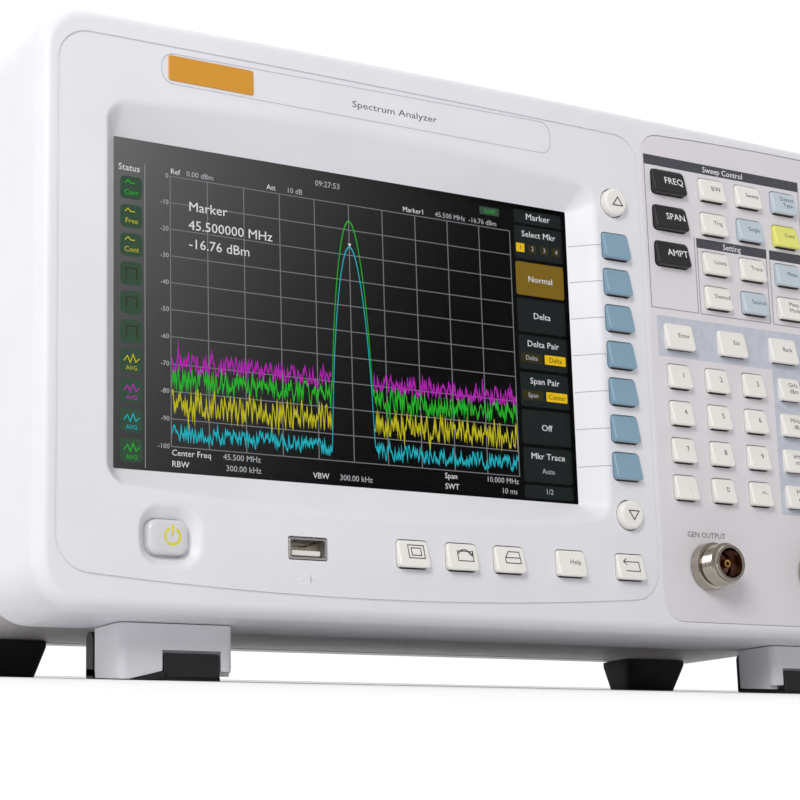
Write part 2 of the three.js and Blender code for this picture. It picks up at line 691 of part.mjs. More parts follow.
// Front feet: a moulded shoe, and a leg that folds forward under it. A finger tab stands in a notch of the
// shoe's front, and the shoe's lip hides the rest of the leg's sole. Distances across a foot run from the
// shoe's centre towards the middle of the instrument.
const shoe = { front: 22, back: 44, halfWidth: 20.9, centre: 140.6, lip: 1.8 };
const sole = 1.3;
const legPivot = { y: 47.4, z: -3.4, radius: 2.6 };
const tab = { from: -5, to: 15.4, top: -10 };
const ramp = { from: -16, slope: 0.24 }; // the sole's front rises beside the tab
const legFront = shoe.front - 0.4;
const behindLip = shoe.front + shoe.lip + gap;

const across = (centre, from, to) => {
  const inwards = -Math.sign(centre);
  return [centre + inwards * from, centre + inwards * to].sort((a, b) => a - b);
};
const facing = (centre, points) => points.map(([from, z]) => [centre - Math.sign(centre) * from, z]);
const rampTop = (from) => groundZ(shoe.front) + gap + ramp.slope * (from - ramp.from);

function frontShoe(centre) {
  const { front, back, halfWidth, lip } = shoe;
  const bottom = (y, clearance) => groundZ(y) + clearance;
  const sides = { left: centre - halfWidth, right: centre + halfWidth };
  const outline = { ...sides, bottom: front, top: back, radius: 3 };
  const body = slab(outline, [[-gap, 0], [groundZ(front), 0]], downZ, 3);
  const under = (y0, y1, clearance, start) => sideProfile(
    [[y0, bottom(y0, clearance)], [y0, -40], [y1, -40], [y1, bottom(y1, clearance)]],
    across(centre, start, 30),
  );
  const notch = sideProfile(
    [[front - 1, tab.top + 1], [front - 1, -30], [front + 6.4, -30], [front + 6.4, bottom(front, sole)],
      [front + 2, tab.top + 1]],
    across(centre, tab.from - 0.5, tab.to + 0.6),
  );
  const corners = [
    [ramp.from - gap / ramp.slope, -30], [ramp.from - gap / ramp.slope, rampTop(ramp.from)],
    [tab.from, rampTop(tab.from) + gap], [halfWidth + 1, rampTop(tab.from) + gap], [halfWidth + 1, -30],
  ];
  const rampCut = frontProfile(facing(centre, corners), [front - 1, behindLip + 1 + gap]);
  const hingeLug = block([centre - 6, centre + 6], [back - 1, legPivot.y + legPivot.radius],
    [legPivot.z - 2.8, -gap]);
  const hole = pin(1.7, [centre - 30, centre + 30], legPivot.y, legPivot.z);
  const underLip = under(front - 5, back + 9, gap, -30);
  const underSole = under(front + lip, back + 9, sole + gap, lip - halfWidth);
  const shell = cut(body, underLip, underSole, rampCut, notch);
  return cut(join(shell, hingeLug), hole);
}

function tiltLeg(centre) {
  const { front, back, halfWidth } = shoe;
  const [near, far] = [back + gap, legPivot.y + legPivot.radius];
  const outer = 0.5 - halfWidth;
  const plate = sideProfile(
    [[legFront, groundZ(legFront)], [far, groundZ(far)], [far, groundZ(far) + sole + 2],
      [near, groundZ(near) + sole + 2], [near, groundZ(near) + sole], [legFront, groundZ(legFront) + sole]],
    across(centre, outer, tab.to),
  );
  const lipRoom = block(across(centre, outer - 1, tab.from), [legFront - 1, behindLip], [-30, tab.top]);
  const besideLip = shoe.lip + gap - halfWidth;
  const sideRoom = block(across(centre, outer - 1, besideLip), [legFront - 1, near], [-30, tab.top]);
  const inTab = tab.from + 1;
  const corners = [[ramp.from, rampTop(ramp.from)], [inTab, rampTop(ramp.from)], [inTab, rampTop(inTab)]];
  const rise = frontProfile(facing(centre, corners), [legFront, behindLip + 1]);
  const cheeks = [[outer, -6.5], [6.5, tab.to]].flatMap(([from, to]) => [
    block(across(centre, from, to), [near, far], [groundZ(near) + 1, legPivot.z]),
    pin(legPivot.radius, across(centre, from, to), legPivot.y, legPivot.z, 16),
  ]);
  const tabFoot = groundZ(front) + 0.2;
  const finger = block(across(centre, tab.from, tab.to), [legFront, legFront + 1.5], [tabFoot, tab.top]);
  const axle = pin(1.3, across(centre, outer + 2, tab.to - 2), legPivot.y, legPivot.z);
  return join(cut(plate, lipRoom, sideRoom), rise, finger, axle, ...cheeks);
}

function rearFoot(side) {
  const centre = side * 155;
  const top = { left: centre - 16.4, right: centre + 16.4, bottom: 137, top: 158, radius: 2 };
  const bottom = { left: centre - 12.4, right: centre + 12.4, bottom: 144, top: 156, radius: 2 };
  const top2 = metalCase.bottom - gap;
  const foot = loft([
    { level: top2, points: roundedOutline(top) },
    { level: top2 - 2, points: roundedOutline(top) },
    { level: -12, points: roundedOutline(bottom) },
  ], downZ);
  const under = sideProfile(
    [[120, groundZ(120)], [120, -40], [170, -40], [170, groundZ(170)]],
    [centre - 30, centre + 30],
  );
  return cut(foot, under);
}

// ---------------------------------------------------------------- assembly

add('front_bezel', frontBezel(), whitePlastic);
add('keypad_fascia', keypadFascia(), palePlastic);
addDisplay();
addBoards();
addKeys();
addKnob();
addCoaxSocket('output', outputSocket);
addCoaxSocket('input', inputSocket);
add('phones_jack', phonesJack(), blackPlastic);
add('usb_host_port', usbHostPort(), nickel);
add('case_cover', caseCover(), paintedSteel);
add('carry_handle', carryHandle(), { color: 0x9b9ca1, roughness: 0.5 });
add('chassis_tray', chassisTray(), paintedSteel);
add('rear_panel', rearPanel(), paintedSteel);
add('rear_frame', rearFrame(), whitePlastic);
addFan();
add('mains_inlet', mainsInlet(), blackPlastic);
add('reference_in_socket', bncSocket(referenceIn), nickel);
add('reference_out_socket', bncSocket(referenceOut), nickel);
add('lan_jack', lanSocket(), plainSteel);
add('usb_device_port', usbDeviceSocket(), nickel);
addElectronics();
for (const [side, name] of [[-1, 'left'], [1, 'right']]) {
  add(`front_foot_${name}`, frontShoe(side * shoe.centre), whitePlastic);
  add(`tilt_leg_${name}`, tiltLeg(side * shoe.centre), blackPlastic);
  add(`rear_foot_${name}`, rearFoot(side), blackPlastic);
}

// Lean the instrument back, then put the middle of its base at the origin.
instrument.rotation.x = -lean;
instrument.updateMatrixWorld(true);
const extent = new THREE.Box3().setFromObject(instrument, true);
instrument.position.set(0, -(extent.min.y + extent.max.y) / 2, -extent.min.z);

export default instrument;
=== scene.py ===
"""The looks of a bench spectrum analyzer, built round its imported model.

Shapes are drawn in millimetres in the case frame: X to the right, Y into the case from the face, and Z up
from the underside of the front bezel. The case frame leans back on the feet, and CASE turns it into the
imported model's frame.
"""

import json
import math
import random

import bmesh
import bpy
from mathutils import Matrix, Vector


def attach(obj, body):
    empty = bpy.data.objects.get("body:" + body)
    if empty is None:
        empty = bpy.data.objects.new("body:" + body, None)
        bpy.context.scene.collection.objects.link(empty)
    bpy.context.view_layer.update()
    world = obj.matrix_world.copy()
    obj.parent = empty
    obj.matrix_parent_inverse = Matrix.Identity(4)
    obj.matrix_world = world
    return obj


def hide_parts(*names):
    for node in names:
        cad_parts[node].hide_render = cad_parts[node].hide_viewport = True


MM = 0.001

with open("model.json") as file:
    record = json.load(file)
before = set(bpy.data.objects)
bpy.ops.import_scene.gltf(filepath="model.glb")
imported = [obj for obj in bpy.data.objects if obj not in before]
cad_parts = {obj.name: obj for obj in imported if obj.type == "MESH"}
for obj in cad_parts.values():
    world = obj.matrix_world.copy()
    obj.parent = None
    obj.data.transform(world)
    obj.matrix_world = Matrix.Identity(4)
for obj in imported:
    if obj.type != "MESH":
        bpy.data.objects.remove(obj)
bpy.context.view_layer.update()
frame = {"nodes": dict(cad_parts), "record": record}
NODES = frame["nodes"]
JOINTS = {joint["name"]: joint for joint in frame["record"]["behaviour"]["joints"]}


# ---------------------------------------------------------------- the case frame


def case_frame():
    """The keys travel along the case's Y, and the bezel's face and underside are at its Y and Z zero."""
    into = Vector(JOINTS["power_key_press"]["axis"])
    turn = Matrix.Rotation(math.atan2(into.z, into.y), 4, "X")
    points = [turn.inverted() @ vertex.co for vertex in NODES["front_bezel"].data.vertices]
    corner = Vector((0, min(p.y for p in points), min(p.z for p in points)))
    return turn @ Matrix.Translation(corner)


CASE = case_frame()


class Box:
    """A CAD node's extent in the case frame, in millimetres."""

    def __init__(self, node):
        points = [(CASE.inverted() @ vertex.co) / MM for vertex in NODES[node].data.vertices]
        self.left, self.front, self.bottom = (min(p[axis] for p in points) for axis in range(3))
        self.right, self.back, self.top = (max(p[axis] for p in points) for axis in range(3))
        self.x = (self.left + self.right) / 2
        self.y = (self.front + self.back) / 2
        self.z = (self.bottom + self.top) / 2
        self.width = self.right - self.left
        self.height = self.top - self.bottom

    def edges(self, radius, grow=0.0):
        """(left, right, bottom, top, radius), with the four sides moved outwards."""
        return (self.left - grow, self.right + grow, self.bottom - grow, self.top + grow, radius)


# ---------------------------------------------------------------- driving sizes

BEZEL = Box("front_bezel")
COVER = Box("case_cover")
FASCIA = Box("keypad_fascia")
WINDOW = Box("screen_window")
TRAY = Box("chassis_tray")
REAR = Box("rear_panel")
REAR_FRAME = Box("rear_frame")

BEZEL_BOW = 2.3
BEZEL_SIDE_TOP = BEZEL.top - BEZEL_BOW
FACE = 3.0  # thickness of the front's face
KEY_GAP = 0.45
PROUD, UPPER_PROUD = 3.0, 0.6  # how far a key's lower and upper edges stand out of the face
FLANGE_FRONT = FACE + 0.35  # where the part of a key behind the face starts
PLATE_FRONT = 0.1
CASE_OUTLINE = (COVER.left, COVER.right, TRAY.bottom, TRAY.bottom + 189, 10)

SCREEN = WINDOW.edges(0.6, grow=-2.5)
SCREEN_DEPTH = 8.0
SURROUND = (-175.7, 25.5, 41.5, 169.7, 7)
SURROUND_BOW = (5.2, 5.7)
SURROUND_RIM = 0.14
PICTURE_Y = 10.3
PICTURE_LEFT = SCREEN[0] + 1.35
PICTURE_TOP = SCREEN[3] + 0.7


# ---------------------------------------------------------------- shapes


def outline(edges, inset=0.0, bow=(0.0, 0.0), corner=6, along=20):
    """(x, z) points round a rectangle (left, right, bottom, top, radius).

    Its top and bottom bow outwards, by bow[0] and bow[1] in the middle.
    """
    left, right, bottom, top = edges[0] + inset, edges[1] - inset, edges[2] + inset, edges[3] - inset
    radius = max(edges[4] - inset, 0.15)
    steps = along if any(bow) else 1
    points = []
    corners = (
        (left + radius, bottom + radius, math.pi),
        (right - radius, bottom + radius, 1.5 * math.pi),
        (right - radius, top - radius, 0),
        (left + radius, top - radius, 0.5 * math.pi),
    )
    for index, (x, z, start) in enumerate(corners):
        for step in range(corner + 1):
            angle = start + math.pi / 2 * step / corner
            points.append((x + radius * math.cos(angle), z + radius * math.sin(angle)))
        if index in (0, 2):
            (x0, z0), x1 = points[-1], corners[(index + 1) % 4][0]
            points += [(x0 + (x1 - x0) * step / steps, z0) for step in range(1, steps)]
    middle, half = (left + right) / 2, (right - left) / 2
    bowed = []
    for x, z in points:
        share = 1 - ((x - middle) / half) ** 2
        bowed.append((x, z + (bow[0] if z > (bottom + top) / 2 else -bow[1]) * share))
    return bowed


def turns(steps):
    """The angles of equal steps round a circle."""
    return [2 * math.pi * step / steps for step in range(steps)]


def circle(x, z, radius, steps=32):
    return [(x + radius * math.cos(turn), z + radius * math.sin(turn)) for turn in turns(steps)]


def blend(first, second, share):
    return [(a + (c - a) * share, b + (d - b) * share) for (a, b), (c, d) in zip(first, second)]


class Shape:
    """Geometry in the case frame, in millimetres. New faces take the ink, which is a material's number.

    The calls that draw return the shape, so that one line can draw a cutter and carve with it.
    """

    def __init__(self):
        self.bm = bmesh.new()
        self.ink = 0

    def rings(self, rings, loop=False):
        """Joins rings of as many (x, y, z) points each into a closed body, and returns its faces.

        The first and last rings are capped, or in a loop joined to each other.
        """
        rows = [[self.bm.verts.new(point) for point in ring] for ring in rings]
        made = []
        for near, far in zip(rows, rows[1:] + rows[:1] if loop else rows[1:]):
            for i in range(len(near)):
                j = (i + 1) % len(near)
                made.append(self.bm.faces.new((near[i], near[j], far[j], far[i])))
        if not loop:
            made.append(self.bm.faces.new(list(reversed(rows[0]))))
            made.append(self.bm.faces.new(rows[-1]))
        for item in made:
            item.material_index = self.ink
        return made

    def loft(self, sections, loop=False):
        """sections: (y, outline of (x, z) points) from the front to the back."""
        self.rings([[(x, y, z) for x, z in points] for y, points in sections], loop)
        return self

    def stack(self, sections):
        """sections: (z, outline of (x, y) points) from one end to the other."""
        self.rings([[(x, y, z) for x, y in points] for z, points in sections])
        return self

    def prism(self, points, front, back):
        """A front view of (x, z) points, extruded along Y."""
        return self.loft([(front, points), (back, points)])

    def extrude_side(self, profile, left, right):
        """A side view of (y, z) points, extruded along X."""
        self.rings([[(x, y, z) for y, z in profile] for x in (left, right)])
        return self

    def block(self, left, right, front, back, bottom, top, rounding=0.0):
        """A box. Rounding is for its corners seen from the front, and for its front and back rims."""
        if not rounding:
            return self.prism(bar(left, right, bottom, top), front, back)
        edges = (left, right, bottom, top, rounding)
        rim = 0.3 * rounding
        sections = ((front, rim), (front + rim, 0), (back - rim, 0), (back, rim))
        return self.loft([(y, outline(edges, inset, corner=4)) for y, inset in sections])

    def fill(self, box, rounding, grow=0.0, front=None, back=None):
        """A block as wide and high as a CAD node, or grown, and as deep unless front or back is given."""
        front = box.front if front is None else front
        back = box.back if back is None else back
        left, right, bottom, top, _ = box.edges(rounding, grow)
        return self.block(left, right, front, back, bottom, top, rounding)

    def turned(self, profile, x, z, steps=40, loop=False):
        """A profile of (radius, y) points turned about a line along Y. A radius of 0 ends on that line."""
        return self.loft([(y, circle(x, z, max(radius, 0.001), steps)) for radius, y in profile], loop)

    def rod(self, start, end, radius, steps=14, rounding=0.0):
        """A round bar from one point to another."""
        start, end = Vector(start), Vector(end)
        along = (end - start).normalized()
        side = along.orthogonal().normalized()
        up = along.cross(side)
        round_it = [side * math.cos(turn) + up * math.sin(turn) for turn in turns(steps)]
        stations = [(start, radius), (end, radius)]
        if rounding:
            stations = [(start, radius - rounding), (start + along * rounding, radius),
                        (end - along * rounding, radius), (end, radius - rounding)]
        self.rings([[centre + arm * size for arm in round_it] for centre, size in stations])
        return self

    def carve(self, other, operation="DIFFERENCE"):
        """Subtracts or joins another closed shape."""
        for shape in (self, other):
            bmesh.ops.recalc_face_normals(shape.bm, faces=shape.bm.faces)
        target, tool = (temporary_object(shape.bm) for shape in (self, other))
        change = target.modifiers.new("carve", "BOOLEAN")
        change.operation = operation
        change.solver = "EXACT"
        change.object = tool
        graph = bpy.context.evaluated_depsgraph_get()
        result = bpy.data.meshes.new_from_object(target.evaluated_get(graph))
        self.bm.clear()
        self.bm.from_mesh(result)
        for item in (target, tool):
            bpy.data.objects.remove(item)
        bpy.data.meshes.remove(result)
        return self


def temporary_object(bm):
    mesh = bpy.data.meshes.new("temporary")
    bm.to_mesh(mesh)
    item = bpy.data.objects.new("temporary", mesh)
    bpy.context.scene.collection.objects.link(item)
    return item


def flat(x, z):
    """The face plane, for printing on."""
    return 0.0


def thick(shape, polygons, surface, lift=0.02, depth=0.03):
    """Raises flat (x, z) polygons off a surface, as closed slivers of ink that stand lift proud of it."""
    for polygon in polygons:
        front = [(x, surface(x, z) - lift, z) for x, z in polygon]
        back = [(x, y + depth, z) for x, y, z in front]
        shape.rings([front, back])


def bar(left, right, bottom, top):
    return [(left, bottom), (right, bottom), (right, top), (left, top)]


def frame_lines(left, right, bottom, top, width):
    """A rectangle drawn as four strokes."""
    return strokes(bar(left, right, bottom, top), width, closed=True)


def strokes(points, width, closed=False):
    """A line of even width through (x, z) points."""
    made = []
    ends = points[1:] + points[:1] if closed else points[1:]
    for (x0, z0), (x1, z1) in zip(points, ends):
        length = math.hypot(x1 - x0, z1 - z0) or 1
        dx, dz = (x1 - x0) / length * width / 2, (z1 - z0) / length * width / 2
        ex, ez = 0.9 * dx, 0.9 * dz  # the ends overlap the next stroke without sharing its corners
        made.append([(x0 - ex + dz, z0 - ez - dx), (x1 + ex + dz, z1 + ez - dx),
                     (x1 + ex - dz, z1 + ez + dx), (x0 - ex - dz, z0 - ez + dx)])
    return made


def arc(x, z, radius, start, end, steps=16):
    """Points on part of a circle, in degrees from +X towards +Z."""
    turns = (math.radians(start + (end - start) * step / steps) for step in range(steps + 1))
    return [(x + radius * math.cos(turn), z + radius * math.sin(turn)) for turn in turns]


LETTER_HALF_DEPTH = 0.015
LETTER_MIDDLE = 0.34  # the middle of a capital above its baseline, as a share of the letters' size


def lettering(shape, words, x, z, size, surface=flat, align="CENTER", lift=0.02, stretch=1.0):
    """Letters as thin closed solids on a surface. z is the middle of the letters' height."""
    curve = bpy.data.curves.new("letters", "FONT")
    curve.body = words
    curve.size = size
    curve.align_x = align
    curve.resolution_u = 2
    curve.extrude = LETTER_HALF_DEPTH
    item = bpy.data.objects.new("letters", curve)
    bpy.context.scene.collection.objects.link(item)
    graph = bpy.context.evaluated_depsgraph_get()
    mesh = bpy.data.meshes.new_from_object(item.evaluated_get(graph))
    drop = size * LETTER_MIDDLE
    verts = []
    for vertex in mesh.vertices:
        across, up = x + vertex.co.x * stretch, z + vertex.co.y - drop
        depth = surface(across, up) - lift + LETTER_HALF_DEPTH - vertex.co.z
        verts.append(shape.bm.verts.new((across, depth, up)))
    for polygon in mesh.polygons:
        corners = [verts[index] for index in polygon.vertices]
        if len(set(corners)) < 3:
            continue
        made = shape.bm.faces.new(corners)
        made.material_index = shape.ink
    bpy.data.objects.remove(item)
    bpy.data.curves.remove(curve)
    bpy.data.meshes.remove(mesh)


WELD = 1e-4  # points nearer to each other than this become one
SHARP_ANGLE = math.radians(35)


def piece(name, shape, materials, body="case", stands_for=()):
    """Makes the shape an object of the scene that rides on a body."""
    bmesh.ops.remove_doubles(shape.bm, verts=shape.bm.verts, dist=WELD)
    bmesh.ops.recalc_face_normals(shape.bm, faces=shape.bm.faces)
    mesh = bpy.data.meshes.new(name)
    shape.bm.to_mesh(mesh)
    mesh.transform(CASE @ Matrix.Scale(MM, 4))
    shape.bm.free()
    for item in materials:
        mesh.materials.append(item)
    mesh.shade_smooth()
    mesh.set_sharp_from_angle(angle=SHARP_ANGLE)
    made = bpy.data.objects.new(name, mesh)
    bpy.context.scene.collection.objects.link(made)
    normals = made.modifiers.new("normals", "WEIGHTED_NORMAL")
    normals.keep_sharp = True
    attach(made, body)
    if stands_for:
        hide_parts(*stands_for)
    return made


# ---------------------------------------------------------------- materials


def world_mm(x, y, z):
    """A point of the case frame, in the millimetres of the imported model's frame."""
    return (CASE @ (Vector((x, y, z)) * MM)) / MM


def linear(rgb):
    """0 to 255 screen values as the linear colour that a shader takes."""
    channels = [value / 255 for value in rgb]
    return [c / 12.92 if c <= 0.04045 else ((c + 0.055) / 1.055) ** 2.4 for c in channels] + [1.0]


class Nodes:
    """A material's node tree, with short calls for the nodes used here. Inputs' names have _ for spaces."""

    def __init__(self, name, **values):
        self.material = bpy.data.materials.new(name)
        self.material.use_nodes = True
        self.tree = self.material.node_tree
        self.shader = self.tree.nodes["Principled BSDF"]
        self.place = self.tree.nodes.new("ShaderNodeTexCoord").outputs["Object"]
        for key, value in values.items():
            self.shader.inputs[key.replace("_", " ")].default_value = value

    def add(self, kind, **values):
        made = self.tree.nodes.new("ShaderNode" + kind)
        for key, value in values.items():
            if hasattr(made, key):
                setattr(made, key, value)
            else:
                made.inputs[key.replace("_", " ")].default_value = value
        return made

    def link(self, source, target):
        self.tree.links.new(source, target)

    def noise(self, size_mm, detail=3.0, stretch=(1, 1, 1)):
        """Noise whose features are size_mm across."""
        mapping = self.add("Mapping", Scale=[axis / (size_mm * MM) for axis in stretch])
        texture = self.add("TexNoise", Scale=1.0, Detail=detail)
        self.link(self.place, mapping.inputs["Vector"])
        self.link(mapping.outputs["Vector"], texture.inputs["Vector"])
        return texture.outputs["Fac"]

    def remap(self, value, low, high, start=0.3, end=0.7):
        """Turns start to end, which is where most noise lies, into low to high."""
        made = self.add("MapRange", From_Min=start, From_Max=end, To_Min=low, To_Max=high)
        self.link(value, made.inputs["Value"])
        return made.outputs["Result"]

    def maths(self, operation, first, second, clamped=False):
        """A sum of two outputs, or of an output and a number."""
        made = self.add("Math", operation=operation, use_clamp=clamped)
        self.link(first, made.inputs[0])
        if isinstance(second, float):
            made.inputs[1].default_value = second
        else:
            self.link(second, made.inputs[1])
        return made.outputs[0]

    def tint(self, rgb, value, spread):
        """The colour, a little darker or lighter from place to place."""
        mix = self.add("Mix", data_type="RGBA")
        colour = linear(rgb)[:3]
        mix.inputs[6].default_value = [c * (1 - spread) for c in colour] + [1]
        mix.inputs[7].default_value = [min(c * (1 + spread), 1) for c in colour] + [1]
        self.link(self.remap(value, 0, 1), mix.inputs[0])
        self.link(mix.outputs[2], self.shader.inputs["Base Color"])

    def gloss(self, value, smooth, rough):
        """Roughness that varies with a value."""
        self.link(self.remap(value, smooth, rough), self.shader.inputs["Roughness"])

    def bump(self, value, depth_mm, strength=1.0):
        made = self.add("Bump", Strength=strength, Distance=depth_mm * MM)
        self.link(value, made.inputs["Height"])
        self.link(made.outputs["Normal"], self.shader.inputs["Normal"])


def plastic(name, rgb, roughness=0.45, grain=0.5, relief=0.02, coat=0.0):
    """Moulded plastic: a fine spark-eroded grain, and faint unevenness of colour and gloss."""
    nodes = Nodes(name, Coat_Weight=coat, Coat_Roughness=0.2)
    nodes.tint(rgb, nodes.noise(35), 0.02)
    nodes.gloss(nodes.noise(9, 4), roughness - 0.05, roughness + 0.05)
    nodes.bump(nodes.noise(grain, 2), relief, 0.6)
    return nodes.material


def key_plastic(name, rgb, roughness=0.4, coat=0.0):
    """Plastic with the finer grain of a key's cap."""
    return plastic(name, rgb, roughness, grain=0.3, relief=0.012, coat=coat)


def metal(name, rgb, roughness=0.25, brush=(1, 1, 1), relief=0.01, size=1.2):
    """Bare or plated metal, brushed along the axis with the smallest stretch."""
    nodes = Nodes(name, Metallic=1.0)
    nodes.tint(rgb, nodes.noise(6), 0.05)
    grain = nodes.noise(size, 5, brush)
    nodes.gloss(grain, roughness - 0.07, roughness + 0.09)
    nodes.bump(grain, relief, 0.5)
    return nodes.material


def paint(name, rgb, roughness=0.5):
    """Powder coat with an orange-peel texture."""
    nodes = Nodes(name)
    nodes.tint(rgb, nodes.noise(30), 0.03)
    nodes.gloss(nodes.noise(4), roughness - 0.06, roughness + 0.06)
    nodes.bump(nodes.noise(1.1, 2), 0.05, 0.5)
    return nodes.material


def ink(name, rgb, roughness=0.55):
    """Screen-printed ink, slightly uneven."""
    nodes = Nodes(name)
    nodes.tint(rgb, nodes.noise(2.5), 0.06)
    nodes.gloss(nodes.noise(1.2), roughness - 0.08, roughness + 0.08)
    return nodes.material


UNLIT = (0.004, 0.004, 0.004, 1)


def glow(name, rgb, strength=1.0, cell=0.22):
    """A lit part of the display, with the faint mesh of its picture cells."""
    nodes = Nodes(name, Base_Color=UNLIT, Specular_IOR_Level=0.05, Emission_Color=linear(rgb))
    cells = nodes.remap(nodes.noise(cell, 1), strength * 0.85, strength * 1.1)
    nodes.link(cells, nodes.shader.inputs["Emission Strength"])
    return nodes.material


def backdrop_painted_reflection(name):
    """The display's background: black, with a painted reflection that glows dark grey at the upper left and
    fades to black at the right.
    """
    nodes = Nodes(name, Base_Color=UNLIT, Specular_IOR_Level=0.05, Roughness=0.7, Emission_Color=(1, 1, 1, 1))
    reflection_width, reflection_height = 185, 280
    parts = nodes.add("SeparateXYZ")
    nodes.link(nodes.place, parts.inputs["Vector"])
    corner = world_mm(SCREEN[0], PICTURE_Y, SCREEN[3])
    across = nodes.remap(parts.outputs["X"], 0, 1, corner.x * MM, (corner.x + reflection_width) * MM)
    down = nodes.remap(parts.outputs["Z"], 0, 1, (corner.z - reflection_height) * MM, corner.z * MM)
    # The painted reflection: emission strongest towards the upper left, none towards the right and bottom.
    painted_reflection = nodes.maths("POWER", nodes.maths("SUBTRACT", down, across, clamped=True), 2.2)
    grain = nodes.remap(nodes.noise(0.25, 1), 0.142, 0.158)
    nodes.link(nodes.maths("MULTIPLY", painted_reflection, grain), nodes.shader.inputs["Emission Strength"])
    return nodes.material


def clear(name):
    """A clear anti-glare window, whose faint gloss varies with wipe marks."""
    nodes = Nodes(name, Base_Color=(0.01, 0.01, 0.01, 1), Alpha=0.04, Specular_IOR_Level=0.02)
    wipes = nodes.noise(20, 4, (1, 1, 0.3))
    nodes.gloss(wipes, 0.02, 0.08)
    nodes.bump(wipes, 0.002, 0.2)
    return nodes.material


WHITE = plastic("white_moulding", (232, 231, 236), 0.42)
PALE = plastic("pale_moulding", (225, 220, 224), 0.45)
CREAM = key_plastic("cream_key", (240, 237, 231))
COOL_KEY = key_plastic("grey_blue_key", (196, 207, 216))
YELLOW_KEY = key_plastic("yellow_key", (233, 231, 122))
SOFT_KEY = key_plastic("blue_key", (132, 164, 184), 0.36, coat=0.2)
BLACK_KEY = key_plastic("black_key", (30, 30, 33), 0.38)
# Dark brown on the lower wall of each key's cap: painted shade for the shadow and gap under the key.
KEY_PAINTED_SHADE = plastic("key_painted_shade", (60, 46, 38), 0.6, grain=0.3)
BLACK = plastic("black_moulding", (27, 27, 30), 0.5, grain=0.6, relief=0.03)
RUBBER = plastic("black_rubber", (20, 20, 21), 0.75, grain=0.8, relief=0.04)
GREY = plastic("grey_moulding", (196, 196, 201), 0.4)
POWER_CAP = plastic("power_cap", (216, 216, 219), 0.25, grain=2.0, relief=0.004, coat=0.4)
SILICONE = plastic("silicone", (150, 152, 156), 0.7)
PAINTED = paint("case_paint", (222, 218, 218))
STEEL = metal("zinc_plate", (186, 188, 190), 0.33, (1, 0.15, 1))
NICKEL = metal("nickel_plate", (180, 173, 162), 0.14, (0.3, 1, 0.3))
BRIGHT_STEEL = metal("bright_steel", (214, 210, 204), 0.26, relief=0.002, size=5)
GOLD = metal("gold_plate", (214, 168, 92), 0.24)
DIELECTRIC = plastic("socket_dielectric", (112, 58, 34), 0.4, grain=0.4)
BOARD = paint("solder_mask", (24, 86, 48), 0.35)
CHIP = plastic("chip_epoxy", (30, 31, 33), 0.55)
TONGUE = plastic("socket_tongue", (236, 233, 228), 0.4)
ALUMINIUM = metal("machined_aluminium", (196, 199, 202), 0.35, (0.1, 1, 1))
DARK_INK = ink("dark_ink", (40, 40, 46))
HEADER_INK = ink("header_ink", (72, 72, 80))
FIELD_INK = ink("field_ink", (196, 199, 210))
PALE_INK = ink("pale_ink", (244, 244, 246))
LINE_INK = ink("line_ink", (150, 152, 160))
AMBER = paint("amber_badge", (214, 150, 46), 0.4)
POWER_MARK = glow("power_mark", (226, 218, 60), 0.9)
WINDOW_CLEAR = clear("window_clear")


# ---------------------------------------------------------------- front bezel

POWER = Box("power_key")
POWER_CAP_EDGES = POWER.edges(4.2, grow=-1)
POWER_DISH = (POWER.x - 10.4, POWER.x + 12.2, POWER.z - 9.9, POWER.z + 10.5, 8)
POWER_DISH_DEPTH = 2.9
LEFT_PANEL = (-193.2, 47.0, 12.4, 192.7, 11)
LEFT_PANEL_BOW = (0.6, 5.2)
GROOVE_WIDTH, GROOVE_DEPTH = 0.7, 0.5
FASCIA_BOW = 2
FASCIA_GAP = 0.12
NO_BOW = 1e-6  # gives a straight edge as many points as a bowed one, so that the two can be joined


def funnel(shape, wide, narrow, depth, rim, end, corner, bow=(NO_BOW, 0), steps=5):
    """A cutter that slopes from a wide outline at the face to a narrow one, over a rounded rim."""
    first = outline(wide, bow=bow, corner=corner)
    last = outline(narrow, bow=(NO_BOW, 0), corner=corner)
    sections = [(-1.0, blend(first, last, -rim))]
    for step in range(steps + 1):
        share = -rim + 2 * rim * step / steps
        sections.append((depth * (share + rim) ** 2 / (4 * rim), blend(first, last, share)))
    sections += [(depth, last), (end, last)]
    return shape.loft(sections)


def key_edges(x, z, width, height, radius=1.4):
    return (x - width / 2, x + width / 2, z - height / 2, z + height / 2, radius)


def spaced(low, high, count, size):
    """Centres of count things of one size that fill the span from low to high."""
    step = (high - low - size) / (count - 1) if count > 1 else 0
    return [low + size / 2 + step * index for index in range(count)]


KEY_FLANGE = 1.0  # how far the part behind the face reaches past the keys


def strip_keys(node, columns, rows, width, height):
    """The keys of a strip, from the top left, as (x, z, width, height)."""
    strip = Box(node)
    xs = spaced(strip.left + KEY_FLANGE, strip.right - KEY_FLANGE, columns, width)
    zs = spaced(strip.bottom + KEY_FLANGE, strip.top - KEY_FLANGE, rows, height)
    return [(x, z, width, height) for z in reversed(zs) for x in xs]


def single_key(node):
    key = Box(node)
    return (key.x, key.z, key.width - 2 * KEY_FLANGE, key.height - 2 * KEY_FLANGE)


